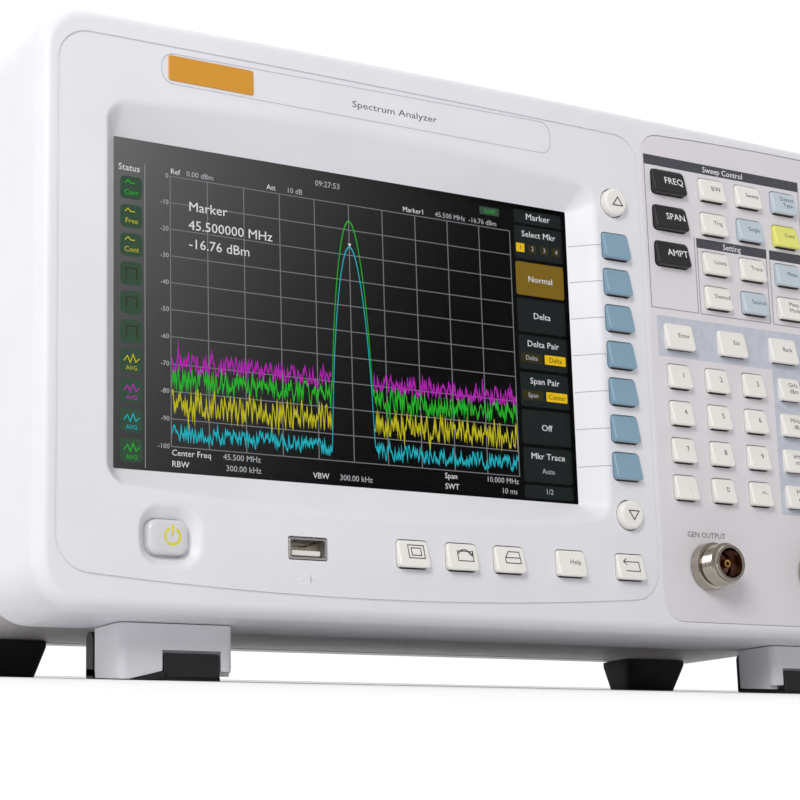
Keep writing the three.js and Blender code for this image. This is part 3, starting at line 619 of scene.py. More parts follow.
# Each strip's columns, rows, and width and height of a key.
STRIPS = {
    "sweep_keys": (3, 2, 12.5, 9.4),
    "setting_keys": (2, 2, 12.5, 9.4),
    "measure_keys": (4, 2, 12.5, 9.4),
    "marker_keys": (3, 2, 12.5, 9.4),
    "entry_keys": (3, 1, 13.6, 10.6),
    "digit_keys": (3, 4, 10.5, 9.6),
    "unit_keys": (1, 4, 10.5, 9.6),
    "screen_keys": (3, 1, 12.5, 9.6),
}
SOFT_KEYS = [f"softkey_{number}" for number in range(1, 8)]
SINGLES = ["frequency_key", "span_key", "amplitude_key", "arrow_left_key", "arrow_right_key", "help_key",
           "return_key", *SOFT_KEYS]
KEYS = {node: [single_key(node)] for node in SINGLES}
KEYS.update((node, strip_keys(node, *layout)) for node, layout in STRIPS.items())
ON_BEZEL = ["help_key", "return_key", "screen_keys", *SOFT_KEYS]
PAGE_KEYS = ("page_up_key", "page_down_key")
PAGE_KEY_FLANGE = 0.8


def cut_key_holes(cutter, nodes):
    for node in nodes:
        for key in KEYS[node]:
            cutter.prism(outline(key_edges(*key), 0.1 - KEY_GAP, corner=3), -1, FACE + 2)


def bezel_shell():
    """The bezel's outside, rolled over at the front, and the block behind the display's surround."""
    roll_inset, roll_depth, roll_steps = 6, 4.5, 8
    edges = (BEZEL.left, BEZEL.right, BEZEL.bottom, BEZEL_SIDE_TOP, 16)
    bow = (BEZEL_BOW - 0.03, 0)
    roll = []
    for step in range(roll_steps + 1):
        angle = math.pi / 2 * step / roll_steps
        roll.append((roll_inset * (1 - math.cos(angle)), roll_depth * (1 - math.sin(angle))))
    rim = BEZEL.back
    back = [(rim - 0.8, 0), (rim - 0.2, 0.2), (rim, 0.8), (rim, 4.9), (rim - 0.8, 5.65), (36, 5.65), (33, 3),
            (FACE, 3)]
    shape = Shape().loft([(y, outline(edges, inset, bow, corner=10, along=32)) for y, inset in roll + back])
    backing = Shape().block(WINDOW.left - 6, 26.2, FACE - 1, SCREEN_DEPTH + 2, 34, 177)
    return shape.carve(backing, "UNION")


def build_bezel():
    shape = bezel_shell()
    through = (-1, FACE + 1)
    behind = SCREEN_DEPTH + 4
    shape.carve(funnel(Shape(), SURROUND, SCREEN, SCREEN_DEPTH, SURROUND_RIM, behind, 8, SURROUND_BOW, 7))
    shape.carve(funnel(Shape(), POWER_DISH, POWER_CAP_EDGES, POWER_DISH_DEPTH, 0.25, FACE + 1, 6))
    shape.carve(Shape().prism(outline(WINDOW.edges(1, grow=0.4)), SCREEN_DEPTH, behind))
    fascia = (FASCIA.left - FASCIA_GAP, FASCIA.right + FASCIA_GAP, FASCIA.bottom - FASCIA_GAP,
              FASCIA.top - FASCIA_BOW + FASCIA_GAP, 8.8)
    shape.carve(Shape().prism(outline(fascia, bow=(FASCIA_BOW, 0)), -1, 2.25))
    cutter = Shape().prism(outline(fascia, 4, (FASCIA_BOW, 0)), *through)
    cutter.fill(Box("usb_host_port"), 0.8, 0.4, *through)
    for node in PAGE_KEYS:
        key = Box(node)
        cutter.prism(circle(key.x, key.z, key.width / 2 - PAGE_KEY_FLANGE + KEY_GAP, 40), *through)
    cut_key_holes(cutter, ON_BEZEL)
    shape.carve(cutter)
    outer = outline(LEFT_PANEL, 0, LEFT_PANEL_BOW, corner=8, along=28)
    inner = outline(LEFT_PANEL, GROOVE_WIDTH, LEFT_PANEL_BOW, corner=8, along=28)
    groove = [(-1, outer), (GROOVE_DEPTH, outer), (GROOVE_DEPTH, inner), (-1, inner)]
    shape.carve(Shape().loft(groove, loop=True))
    piece("bezel_moulding", shape, [WHITE], stands_for=["front_bezel"])


def build_fascia():
    edges = (FASCIA.left, FASCIA.right, FASCIA.bottom, FASCIA.top - FASCIA_BOW, 8.7)
    levels = ((PLATE_FRONT, 0.5), (0.15, 0.3), (0.3, 0.12), (0.6, 0), (FASCIA.back, 0))
    shape = Shape()
    shape.loft([(y, outline(edges, inset, (FASCIA_BOW, 0), corner=8, along=28)) for y, inset in levels])
    cutter = Shape()
    cut_key_holes(cutter, [node for node in KEYS if node not in ON_BEZEL])
    holes = {"tuning_knob": 5, "output_socket": 7.9, "input_socket": 7.9, "phones_jack": 4.6}
    for node, radius in holes.items():
        place = Box(node)
        cutter.prism(circle(place.x, place.z, radius, 40), -1, 3)
    shape.carve(cutter)
    piece("keypad_plate", shape, [PALE], stands_for=["keypad_fascia"])


# ---------------------------------------------------------------- keys


def cap_surface(key):
    """Depth of a key's front: proud at its lower edge, and nearly flush at its upper edge."""
    _, middle, _, height = key

    def depth(x, z):
        share = min(max((z - middle) / height + 0.5, 0), 1)
        return -(PROUD + (UPPER_PROUD - PROUD) * share)

    return depth


CAP_EDGE = ((0.0, 0.9), (0.06, 0.5), (0.2, 0.2), (0.45, 0.05), (0.8, 0), (1.5, 0))  # depths and insets


def add_cap(shape, key):
    """A key's cap in the current ink, and the root of its lower wall in the next one, which is painted shade.
    """
    surface = cap_surface(key)
    edges = key_edges(*key)
    rings = []
    for depth, inset in CAP_EDGE:
        rings.append([(x, min(surface(x, z) + depth, 0.3), z) for x, z in outline(edges, inset, corner=4)])
    rings.append([(x, FACE + 0.6, z) for x, z in outline(edges, corner=4)])
    made = shape.rings(rings)
    wall = made[(len(CAP_EDGE) - 1) * len(rings[0]):-2]
    # Faces of the lower wall take the next ink, the dark brown painted shade.
    low = edges[2] + 0.3
    for item in wall:
        if all(vertex.co.z < low for vertex in item.verts):
            item.material_index = shape.ink + 1
    return surface


def legend_size(words):
    return 3.1 if len(words) < 3 else 2.6


def add_legend(shape, key, words, surface, size=None):
    """One or two lines of print, to the right of the cap's middle and above it."""
    x, z, width, height = key
    lines = words.split("\n")
    size = size or legend_size(max(lines, key=len))
    pitch = size * 1.02
    top = z + height * 0.06 + pitch * (len(lines) - 1) / 2
    for index, line in enumerate(lines):
        lettering(shape, line, x + width * 0.12, top - pitch * index, size, surface)


def start_key(node):
    """The part of a key, or of a strip of keys, behind the face."""
    return Shape().fill(Box(node), 1.2, front=FLANGE_FRONT)


def start_single(node):
    """A single key without its print, its cap's surface, and (x, z, width, height)."""
    shape, key = start_key(node), KEYS[node][0]
    surface = add_cap(shape, key)
    shape.ink = 2
    return shape, surface, key


def key_piece(name, shape, node, materials=(CREAM, KEY_PAINTED_SHADE, DARK_INK)):
    piece(name, shape, materials, node, [node])


LEGENDS = {
    "sweep_keys": ("BW", "Sweep", "Detect\nType", "Trig", "Single", "Cont"),
    "setting_keys": ("Limits", "Trace", "Demod", "Source"),
    "measure_keys": ("Meas", "Setup", "Pass", "View", "Meas\nMode", "Power", "File", "Save"),
    "marker_keys": ("Mark", "Peak", "Table", "Func", "Next", "List"),
    "entry_keys": ("Enter", "Esc", "Back"),
    "digit_keys": ("1", "2", "3", "4", "5", "6", "7", "8", "9", ".", "0", "+/-"),
    "unit_keys": ("GHz\ndBm", "MHz\ndB", "kHz\nmV", "Hz\nuV"),
}
# Each cap colour is followed by the painted shade of its lower wall.
STRIP_MATERIALS = (CREAM, KEY_PAINTED_SHADE, COOL_KEY, KEY_PAINTED_SHADE, YELLOW_KEY, KEY_PAINTED_SHADE, DARK_INK)
CAP_INKS = {"Detect\nType": 2, "Single": 2, "Source": 2, "Meas": 2, "Cont": 4}  # a cap without one is cream
PRINT_INK = 6
STROKE = 0.35  # width of a printed line


def build_strip(node):
    """One moulded strip: its web behind the face, a cap for each key, and the print."""
    shape = start_key(node)
    for key, legend in zip(KEYS[node], LEGENDS[node]):
        shape.ink = CAP_INKS.get(legend, 0)
        surface = add_cap(shape, key)
        shape.ink = PRINT_INK
        add_legend(shape, key, legend, surface)
    key_piece(node + "_caps", shape, node, STRIP_MATERIALS)


def build_keys():
    for node in SOFT_KEYS:
        shape, _, _ = start_single(node)
        key_piece(node + "_cap", shape, node, [SOFT_KEY, KEY_PAINTED_SHADE])
    for node, words in (("frequency_key", "FREQ"), ("span_key", "SPAN"), ("amplitude_key", "AMPT")):
        shape, surface, key = start_single(node)
        add_legend(shape, key, words, surface, 4.0)
        key_piece(node + "_cap", shape, node, [BLACK_KEY, BLACK_KEY, PALE_INK])
    for node, points in (("arrow_left_key", -1), ("arrow_right_key", 1)):
        shape, surface, (x, z, _, _) = start_single(node)
        arrow = [(x - 1.6 * points, z - 1.5), (x + 2.0 * points, z), (x - 1.6 * points, z + 1.5)]
        thick(shape, strokes(arrow, STROKE, closed=True), surface)
        key_piece(node + "_cap", shape, node)
    shape, surface, key = start_single("help_key")
    add_legend(shape, key, "Help", surface)
    key_piece("help_key_cap", shape, "help_key")
    build_return_key()
    for node in LEGENDS:
        build_strip(node)
    build_screen_strip()
    build_page_keys()
    build_power_key()


def build_return_key():
    """A key with an arrow that turns back to the left."""
    shape, surface, (x, z, _, _) = start_single("return_key")
    head = [(x - 2.2, z + 3.0), (x - 3.6, z + 1.9), (x - 2.2, z + 0.8)]
    track = [(x - 3.4, z + 1.9), (x + 3.4, z + 1.9), (x + 3.4, z - 1.6), (x - 3.0, z - 1.6)]
    thick(shape, strokes(head, STROKE) + strokes(track, STROKE), surface)
    key_piece("return_key_cap", shape, "return_key")


def build_screen_strip():
    """Three keys under the display: a window, a tray with an arrow, and a printer."""
    node = "screen_keys"
    shape = start_key(node)
    surfaces = [add_cap(shape, key) for key in KEYS[node]]
    shape.ink = 2
    places = [(key[0] + 0.9, key[1] + 0.8) for key in KEYS[node]]
    x, z = places[0]
    window = frame_lines(x - 3.2, x + 3.2, z - 2.3, z + 2.3, STROKE)
    window += frame_lines(x - 1.9, x + 1.9, z - 1.3, z + 1.3, STROKE)
    x, z = places[1]
    tray = frame_lines(x - 3.2, x + 3.2, z - 2.3, z + 1.2, STROKE)
    tray += strokes(arc(x - 0.2, z - 1.2, 3.0, 150, 20, 8), 0.4)
    tray += strokes([(x + 1.5, z + 0.9), (x + 2.7, z - 0.3), (x + 3.2, z + 1.4)], 0.4)
    x, z = places[2]
    printer = frame_lines(x - 3.2, x + 3.2, z - 2.1, z - 0.1, STROKE)
    cover = [(x - 3.1, z - 0.1), (x - 1.6, z + 2.1), (x + 3.0, z + 2.1), (x + 3.1, z - 0.1)]
    printer += strokes(cover, STROKE)
    for icon, surface in zip((window, tray, printer), surfaces):
        thick(shape, icon, surface)
    key_piece(node + "_caps", shape, node)


def build_page_keys():
    """Round keys with a triangle that points up or down."""
    top = -2.62

    def on_cap(x, z):
        return top

    for node, points in zip(PAGE_KEYS, (1, -1)):
        box = Box(node)
        flange = box.width / 2
        radius = flange - PAGE_KEY_FLANGE
        profile = [(0, -2.5), (radius * 0.5, -2.56), (radius - 1.4, -2.7), (radius - 0.7, top),
                   (radius - 0.2, -2.2), (radius, -1.6), (radius, FLANGE_FRONT), (flange, FLANGE_FRONT),
                   (flange, box.back), (0, box.back)]
        shape = Shape().turned(profile, box.x, box.z, 48)
        shape.ink = 1
        x, z = box.x + 0.6, box.z
        triangle = [(x - 2.3, z - 1.4 * points), (x + 2.3, z - 1.4 * points), (x, z + 1.9 * points)]
        thick(shape, strokes(triangle, STROKE, closed=True), on_cap, lift=0.06, depth=0.1)
        key_piece(node + "_cap", shape, node, [CREAM, DARK_INK])


def build_power_key():
    """A cushion-shaped cap in a dish, with a lit mark to the right of its middle."""
    levels = ((-0.5, 4.0), (-0.46, 2.6), (-0.32, 1.3), (-0.05, 0.55), (0.35, 0.15), (0.9, 0), (FACE + 1.5, 0))
    edges = (*POWER_CAP_EDGES[:4], 4.0)
    cap_gap = 0.6

    def on_cap(x, z):
        return -0.42

    shape = Shape()
    shape.loft([(y, outline(edges, cap_gap + inset, corner=8)) for y, inset in levels])
    shape.fill(POWER, 1.5, front=FLANGE_FRONT)
    shape.ink = 1
    x, z = POWER.x + 1.2, POWER.z + 0.2
    mark = strokes(arc(x, z, 2.6, 125, 415, 22), 0.85) + strokes([(x, z + 0.4), (x, z + 3.4)], 0.85)
    thick(shape, mark, on_cap, lift=0.08, depth=0.14)
    key_piece("power_key_cap", shape, "power_key", [POWER_CAP, POWER_MARK])


# ---------------------------------------------------------------- print on the front


def surround_wall(x):
    """Depth of the surround's right wall, which is also the face beyond it."""
    share = (SURROUND[1] - x) / (SURROUND[1] - SCREEN[1])
    if share > SURROUND_RIM:
        return SCREEN_DEPTH * share
    return SCREEN_DEPTH * max(share + SURROUND_RIM, 0) ** 2 / (4 * SURROUND_RIM)


def on_plate(x, z):
    return PLATE_FRONT


def print_header_bars(shape, bars):
    """Dark bars (left, right, bottom, top) with pale words in them."""
    shape.ink = 0
    for edges in bars.values():
        thick(shape, [bar(*edges)], on_plate)
    shape.ink = 1
    for words, (left, right, bottom, top) in bars.items():
        lettering(shape, words, left + (right - left) * 0.5, (bottom + top) / 2, 3.4, on_plate, lift=0.04)


def print_soft_key_lines(shape):
    """A line from the display to each soft key, over the surround's wall and the face."""
    shape.ink = 4
    steps = 24
    start, end = SCREEN[1] + 0.4, 27.2
    reach = [start + (end - start) * step / steps for step in range(steps + 1)]
    section = ((-0.03, -0.13), (-0.03, 0.13), (0.05, 0.13), (0.05, -0.13))
    for node in SOFT_KEYS:
        z = KEYS[node][0][1]
        shape.rings([[(x, surround_wall(x) + depth, z + up) for depth, up in section] for x in reach])


def print_sockets(shape):
    """Words over the two coaxial sockets, and headphones over their jack."""
    shape.ink = 0
    for node, words in (("output_socket", "GEN OUTPUT"), ("input_socket", "RF INPUT")):
        place = Box(node)
        lettering(shape, words, place.x, place.top + 3.2, 3.0, on_plate)
    x, z = Box("phones_jack").x, Box("phones_jack").top
    thick(shape, strokes(arc(x, z + 3.6, 1.8, 0, 180, 10), STROKE), on_plate)
    ears = [bar(x - 2.2, x - 1.3, z + 1.8, z + 3.7), bar(x + 1.3, x + 2.2, z + 1.8, z + 3.7)]
    thick(shape, ears, on_plate)


def build_front_print():
    """Header bars, boxes round the key groups, lines to the soft keys and the sockets' legends."""
    shape = Shape()
    sweep, setting, measure = (Box(node) for node in ("sweep_keys", "setting_keys", "measure_keys"))
    marker, entry, units = (Box(node) for node in ("marker_keys", "entry_keys", "unit_keys"))
    upper, lower = (sweep.top + 0.9, sweep.top + 5.0), (setting.top + 0.3, setting.top + 4.2)
    print_header_bars(shape, {
        "Sweep Control": (50.2, sweep.right + 2.2, *upper),
        "Marker": (sweep.right + 4.2, marker.right + 1.0, *upper),
        "Setting": (setting.left - 1.6, setting.right + 1.4, *lower),
        "Measure": (measure.left - 1.4, measure.right + 1.0, *lower),
    })
    shape.ink = 2
    low, high = setting.bottom - 1.2, sweep.top + 1
    step_left = setting.left - 2.6
    lines = [[(50.4, high), (50.4, low), (step_left, low), (step_left, setting.top + 4.4)]]
    for strip in (setting, measure):
        left, right = strip.left - 1.4, strip.right + 1.2
        lines.append([(left, setting.top + 1), (left, low), (right, low), (right, setting.top + 1)])
    lines.append([(sweep.right + 2.0, high), (sweep.right + 2.0, setting.top + 4.6)])
    for line in lines:
        thick(shape, strokes(line, 0.4), on_plate)
    shape.ink = 3
    field_low = entry.bottom - 1.6
    field = [bar(52.6, 190, field_low, entry.top + 1.8),
             bar(units.left - 1.4, units.right + 1.4, units.bottom - 1.4, field_low)]
    thick(shape, field, on_plate, lift=0.01)
    print_soft_key_lines(shape)
    print_sockets(shape)
    shape.ink = 1
    print_plug(shape, Box("usb_host_port").x, 13.4)
    piece("front_print", shape, [HEADER_INK, PALE_INK, LINE_INK, FIELD_INK, LINE_INK])


def print_plug(shape, x, z):
    """A plain outline of a plug."""
    thick(shape, frame_lines(x - 3.4, x + 0.8, z - 1.4, z + 1.4, 0.3), flat)
    thick(shape, frame_lines(x + 0.8, x + 3.2, z - 0.9, z + 0.9, 0.3), flat)
    thick(shape, strokes([(x - 5.4, z), (x - 3.6, z)], 0.3), flat)


NAME_STRIP = (-156.2, 5.5, 179.3, 190.4, 4.5)
NAME_STRIP_RISE = 1.6  # how much higher its top edge is at the right
NAME_STRIP_LINE = 0.28


def build_name_strip():
    """A framed strip with a plain badge: no name is printed."""
    left, right, bottom, _, _ = NAME_STRIP
    middle_x, middle_z = (left + right) / 2, bottom + 5.8
    outer = []
    for x, z in outline(NAME_STRIP, bow=(NO_BOW, 0)):
        rise = NAME_STRIP_RISE * (x - left) / (right - left)
        outer.append((x, z + rise * (z > bottom + 5)))
    line = NAME_STRIP_LINE
    inner = [(x + (line if x < middle_x else -line), z + (line if z < middle_z else -line)) for x, z in outer]
    shape = Shape().loft([(-0.12, outer), (-0.12, inner), (0.05, inner), (0.05, outer)], loop=True)
    shape.ink = 1
    shape.block(left + 2.6, left + 35, -0.5, 0.05, bottom + 1.3, bottom + 10.3, 0.8)
    shape.ink = 2
    lettering(shape, "Spectrum Analyzer", -63.5, bottom + 5.4, 3.5, flat, stretch=1.34)
    piece("name_strip", shape, [FIELD_INK, AMBER, HEADER_INK])


# ---------------------------------------------------------------- display

# The picture is laid out from the display's upper left corner, in millimetres across and down.
GRAPH_LEFT, GRAPH_TOP = 20.5, 10.9
GRAPH_STEP_X, GRAPH_STEP_Y = 14.04, 9.36
GRAPH_STEPS = 10
STEP_DECIBELS = 10
GRAPH_WIDTH = GRAPH_STEPS * GRAPH_STEP_X
GRAPH_MIDDLE = GRAPH_LEFT + GRAPH_WIDTH / 2
SIGNAL_REACH = 8.4  # traces that don't show the signal have a gap this far to each side of the middle
MARKER_LEVEL = -16.8
MENU_LEFT, MENU_RIGHT = 163.0, 185.0
MENU_MIDDLE = (MENU_LEFT + MENU_RIGHT) / 2
TEXT, DIM, GRID, GREEN, YELLOW, MAGENTA, CYAN, GOLD_BOX, TILE, ICON, TAG, DARK_TAG = range(12)
LIT_COLOURS = {
    "text": (225, 225, 228), "dim": (178, 182, 186), "grid": (124, 124, 130), "green": (38, 178, 40),
    "yellow": (190, 184, 30), "magenta": (176, 34, 176), "cyan": (30, 176, 190), "gold": (124, 98, 28),
    "tile": (27, 33, 34), "icon": (56, 80, 64), "tag": (232, 190, 24), "dark_tag": (52, 48, 20),
}


def at(across, down):
    """A place on the picture, in millimetres across and down from its upper left corner."""
    return (PICTURE_LEFT + across, PICTURE_TOP - down)


def at_bar(left, top, right, bottom):
    (x0, z1), (x1, z0) = at(left, top), at(right, bottom)
    return bar(x0, x1, z0, z1)


def level_down(level):
    """How far down the picture a level in decibels is."""
    return GRAPH_TOP - level / STEP_DECIBELS * GRAPH_STEP_Y


def peak_level(offset, peak):
    """A narrow filter's response, in decibels, offset millimetres from its middle."""
    nose, skirt, skirt_reach = 0.8, 6, 7.6
    return peak - nose * offset ** 2 - skirt * (abs(offset) / skirt_reach) ** 8


def noise_levels(floor, swing, spikes, peak, rng):
    """(across, level) along a trace. A trace without the peak has no level, None, where the signal is."""
    columns, spike_chance = 520, 0.06
    levels = []
    for column in range(columns + 1):
        across = GRAPH_LEFT + GRAPH_WIDTH * column / columns
        level = floor + swing * rng.uniform(-1, 1)
        if rng.random() < spike_chance:
            level += spikes * rng.random()
        if peak:
            level = max(level, peak_level(across - GRAPH_MIDDLE, peak))
        elif abs(across - GRAPH_MIDDLE) < SIGNAL_REACH:
            level = None
        levels.append((across, level))
    return levels


def trace(shape, ink_number, floor, swing, spikes, peak, rng):
    """One trace: noise along its floor, and the signal in the middle where the trace has it."""
    shape.ink = ink_number
    half_line = 0.24
    front = PICTURE_Y - 0.08 - 0.03 * (ink_number - GREEN)
    back = front + 0.02
    levels = noise_levels(floor, swing, spikes, peak, rng)
    ribbon = []
    for before, (across, level), after in zip(levels, levels[1:], levels[2:]):
        if level is None:
            if ribbon:
                shape.rings(ribbon)
            ribbon = []
            continue
        near = [(level + (other[1] if other[1] is not None else level)) / 2 for other in (before, after)]
        x, high = at(across, level_down(max(level, *near)) - half_line)
        _, low = at(across, level_down(min(level, *near)) + half_line)
        ribbon.append([(x, front, high), (x, front, low), (x, back, low), (x, back, high)])
    shape.rings(ribbon)


def on_picture(x, z):
    return PICTURE_Y


def lay(shape, ink_number, polygons, lift=0.06):
    """Lit shapes laid on the picture."""
    shape.ink = ink_number
    thick(shape, polygons, on_picture, lift, 0.02)


def tile(shape, ink_number, left, top, right, bottom, radius=0.8, lift=0.04):
    (x0, z1), (x1, z0) = at(left, top), at(right, bottom)
    lay(shape, ink_number, [outline((x0, x1, z0, z1, radius), corner=3)], lift)


def caption(shape, words, across, down, size, ink_number=TEXT, align="LEFT", stretch=1.0):
    x, z = at(across, down)
    shape.ink = ink_number
    lettering(shape, words, x, z, size, on_picture, align, 0.3, stretch)


def build_display():
    panel = Box("lcd_panel")
    piece("display_panel", Shape().fill(panel, 1.5), [BLACK], stands_for=["lcd_panel"])

    left, right, bottom, top, radius = SCREEN
    edges = (left - 2.4, right + 2.4, bottom - 1.6, top + 1.6, radius)
    back = Shape().prism(outline(edges), PICTURE_Y, PICTURE_Y + 0.04)
    # The black behind the picture, with a painted reflection that glows grey at its upper left.
    piece("display_background", back, [backdrop_painted_reflection("display_black_painted_reflection")])

    shape = Shape()
    draw_grid(shape)
    draw_traces(shape)
    draw_menu(shape)
    draw_status(shape)
    draw_readouts(shape)
    piece("display_picture", shape, [glow("lit_" + name, rgb) for name, rgb in LIT_COLOURS.items()])

    levels = ((WINDOW.front, 0.3), (WINDOW.front + 0.3, 0), (WINDOW.back - 0.3, 0), (WINDOW.back, 0.3))
    window = Shape().loft([(y, outline(WINDOW.edges(1), inset)) for y, inset in levels])
    piece("display_window", window, [WINDOW_CLEAR], stands_for=["screen_window"])


def draw_grid(shape):
    right, bottom = GRAPH_LEFT + GRAPH_WIDTH, GRAPH_TOP + GRAPH_STEPS * GRAPH_STEP_Y
    for index in range(GRAPH_STEPS + 1):
        across, down = GRAPH_LEFT + index * GRAPH_STEP_X, GRAPH_TOP + index * GRAPH_STEP_Y
        lay(shape, GRID, [at_bar(across - 0.17, GRAPH_TOP, across + 0.17, bottom)], 0.05)
        lay(shape, GRID, [at_bar(GRAPH_LEFT, down - 0.15, right, down + 0.15)], 0.055)
        caption(shape, str(-STEP_DECIBELS * index), GRAPH_LEFT - 0.7, down, 2.4, DIM, "RIGHT")


def draw_traces(shape):
    rng = random.Random(7)
    trace(shape, MAGENTA, -69.0, 4.2, 5.0, None, rng)
    trace(shape, GREEN, -75.0, 5.4, -4.0, -6.6, rng)
    trace(shape, YELLOW, -84.0, 6.0, -6.0, None, rng)
    trace(shape, CYAN, -95.0, 3.6, 2.0, MARKER_LEVEL, rng)
    x, z = at(GRAPH_MIDDLE, level_down(MARKER_LEVEL))
    lay(shape, TEXT, [[(x, z), (x + 0.7, z + 1.2), (x - 0.7, z + 1.2)]], 0.32)


def draw_menu(shape):
    """The title, and seven boxes for the soft keys."""
    tile(shape, TILE, MENU_LEFT, 1.8, MENU_RIGHT, 7.0)
    caption(shape, "Marker", MENU_MIDDLE, 4.2, 3.5, align="CENTER", stretch=1.1)
    boxes = [("Select Mkr", "numbers"), ("Normal", None), ("Delta", None), ("Delta Pair", "Delta"),
             ("Span Pair", "Center"), ("Off", None), ("Mkr Trace", "Auto")]
    top, pitch, height = 8.0, 14.2, 12.9
    for index, (words, option) in enumerate(boxes):
        upper = top + pitch * index
        middle = upper + 8.6
        tile(shape, GOLD_BOX if words == "Normal" else TILE, MENU_LEFT, upper, MENU_RIGHT, upper + height)
        line = upper + (3.1 if option else height / 2)
        caption(shape, words, MENU_MIDDLE, line, 3.3, align="CENTER", stretch=1.1)
        if option == "numbers":
            draw_marker_numbers(shape, upper)
        elif option == "Auto":
            caption(shape, option, MENU_MIDDLE, middle, 2.8, DIM, "CENTER")
        elif option:
            for ink_number, left, right in ((TAG, 174.6, 184.2), (DARK_TAG, 163.8, 173.2)):
                tile(shape, ink_number, left, upper + 6.8, right, upper + 10.4, 0.3, 0.1)
            caption(shape, option, 179.4, middle, 2.7, DARK_TAG, "CENTER")
            caption(shape, words.split()[0], 168.5, middle, 2.5, DIM, "CENTER")
    tile(shape, TILE, MENU_LEFT, 107.2, MENU_RIGHT, 112.2)
    caption(shape, "1/2", MENU_MIDDLE, 109.4, 2.8, DIM, "CENTER")


def draw_marker_numbers(shape, upper):
    """Four numbered tags, the first one lit."""
    for number in range(4):
        left = 163.6 + 5.5 * number
        tag, words_ink = (DARK_TAG, DIM) if number else (TAG, DARK_TAG)
        tile(shape, tag, left, upper + 7, left + 3.8, upper + 10.4, 0.2, 0.1)
        caption(shape, str(number + 1), left + 1.9, upper + 8.7, 2.5, words_ink, "CENTER")


def draw_status(shape):
    """A column of small state icons, the lower four in the colours of the traces."""
    caption(shape, "Status", 1.2, 10.2, 3.3)
    lay(shape, DIM, [at_bar(11.0, 8.2, 11.15, 112.4)])
    left, right, half, first, pitch = 2.1, 10.1, 4.0, 17.2, 9.95
    centre = (left + right) / 2
    states = (("Corr", GREEN), ("Free", YELLOW), ("Cont", YELLOW), *[("", DARK_TAG)] * 3,
              ("AVG", YELLOW), ("AVG", MAGENTA), ("AVG", CYAN), ("AVG", GREEN))
    for index, (words, ink_number) in enumerate(states):
        middle = first + pitch * index
        tile(shape, ICON, left, middle - half, right, middle + half, 1.6)
        if words == "AVG":
            line = [(3.4, 0), (4.6, -1.6), (5.6, 0.6), (6.6, -2.2), (7.6, 0.4), (8.8, -0.8)]
            caption(shape, words, centre, middle + 2.4, 2.1, ink_number, "CENTER")
        elif words:
            caption(shape, words, centre, middle + 1.6, 2.6, ink_number, "CENTER")
            line = [(3.8, -1.6), (4.8, -2.6), (5.8, -1.6), (7.2, -1.6)]
        else:
            line = [(4.2, 1.8), (4.2, -1.8), (8.0, -1.8), (8.0, 1.8)]
        lay(shape, ink_number, strokes([at(across, middle + down) for across, down in line], 0.35), 0.3)


def draw_readouts(shape):
    """The top line, the marker's readout and the settings under the graph."""
    caption(shape, "09:27:53", 77, 4.7, 3.0, DIM)
    tile(shape, ICON, 147.6, 3.0, 156.4, 6.0, 0.4)
    caption(shape, "Local", 152.0, 4.4, 2.3, GREEN, "CENTER")
    for line, words in enumerate(("Marker", "45.500000 MHz", "-16.76 dBm")):
        caption(shape, words, 27.2, 20.6 + 6.6 * line, 4.8, stretch=1.05)
    # Each row's distance down, the size of its letters, and each setting's name and value with their places.
    rows = (
        (9.1, 2.7, (("Ref", 20.5, "0.00 dBm", 26.5), ("Att", 57.5, "10 dB", 65.5),
                    ("Marker1", 113.5, "45.500 MHz  -16.76 dBm", 127.5))),
        (106.5, 2.9, (("Center Freq", 20.5, "45.500 MHz", 39.5), ("Span", 128, "10.000 MHz", 146))),
        (110.3, 2.9, (("RBW", 20.5, "300.00 kHz", 40.5), ("VBW", 74, "300.00 kHz", 84.5),
                      ("SWT", 128, "10 ms", 152.5))),
    )
    for down, size, settings in rows:
        for name, name_across, value, value_across in settings:
            caption(shape, name, name_across, down, size, TEXT)
            caption(shape, value, value_across, down, size, DIM)


# ---------------------------------------------------------------- sockets on the front


def build_coax(name, node_socket, node_contact):
    """A threaded coaxial socket on its round flange, with a slotted contact in a brown insulator."""
    socket, contact = Box(node_socket), Box(node_contact)
    x, z = socket.x, socket.z
    mouth, back = socket.front, socket.back
    flange = socket.width / 2
    bore, root, crest, thread_pitch = 5.4, 7.15, 7.85, 1.06
    profile = [(bore, -3.5), (bore, mouth + 0.5), (5.7, mouth), (6.7, mouth), (7.0, mouth + 0.4),
               (7.0, mouth + 1.6)]
    depth = mouth + 1.8
    while depth < -5.6:
        profile += [(crest, depth + 0.25), (crest, depth + 0.4), (root, depth + 0.75)]
        depth += thread_pitch
    profile += [(7.2, -4.7), (flange - 0.8, -4.6), (flange - 0.2, -4.35), (flange, -3.9), (flange, -0.4),
                (7.4, -0.36), (7.4, back - 0.4), (7.0, back), (0, back), (0, -3.5)]
    shape = Shape().turned(profile, x, z, 56, loop=True)
    piece(name + "_barrel", shape, [NICKEL], stands_for=[node_socket])

    insulator = [(0, -5.2), (2.5, -5.2), (2.5, -6.0), (4.6, -6.0), (4.95, -5.6), (4.95, contact.back),
                 (0, contact.back)]
    shape = Shape().turned(insulator, x, z, 40)
    shape.ink = 1
    tip = contact.front
    pin = [(0.8, -6.0), (0.8, tip + 0.1), (1.0, tip), (1.5, tip), (1.68, tip + 0.3), (1.68, -5.0), (0, -5.0),
           (0, -6.0)]
    shape.turned(pin, x, z, 24, loop=True)
    piece(name + "_insulator", shape, [DIELECTRIC, GOLD], stands_for=[node_contact])


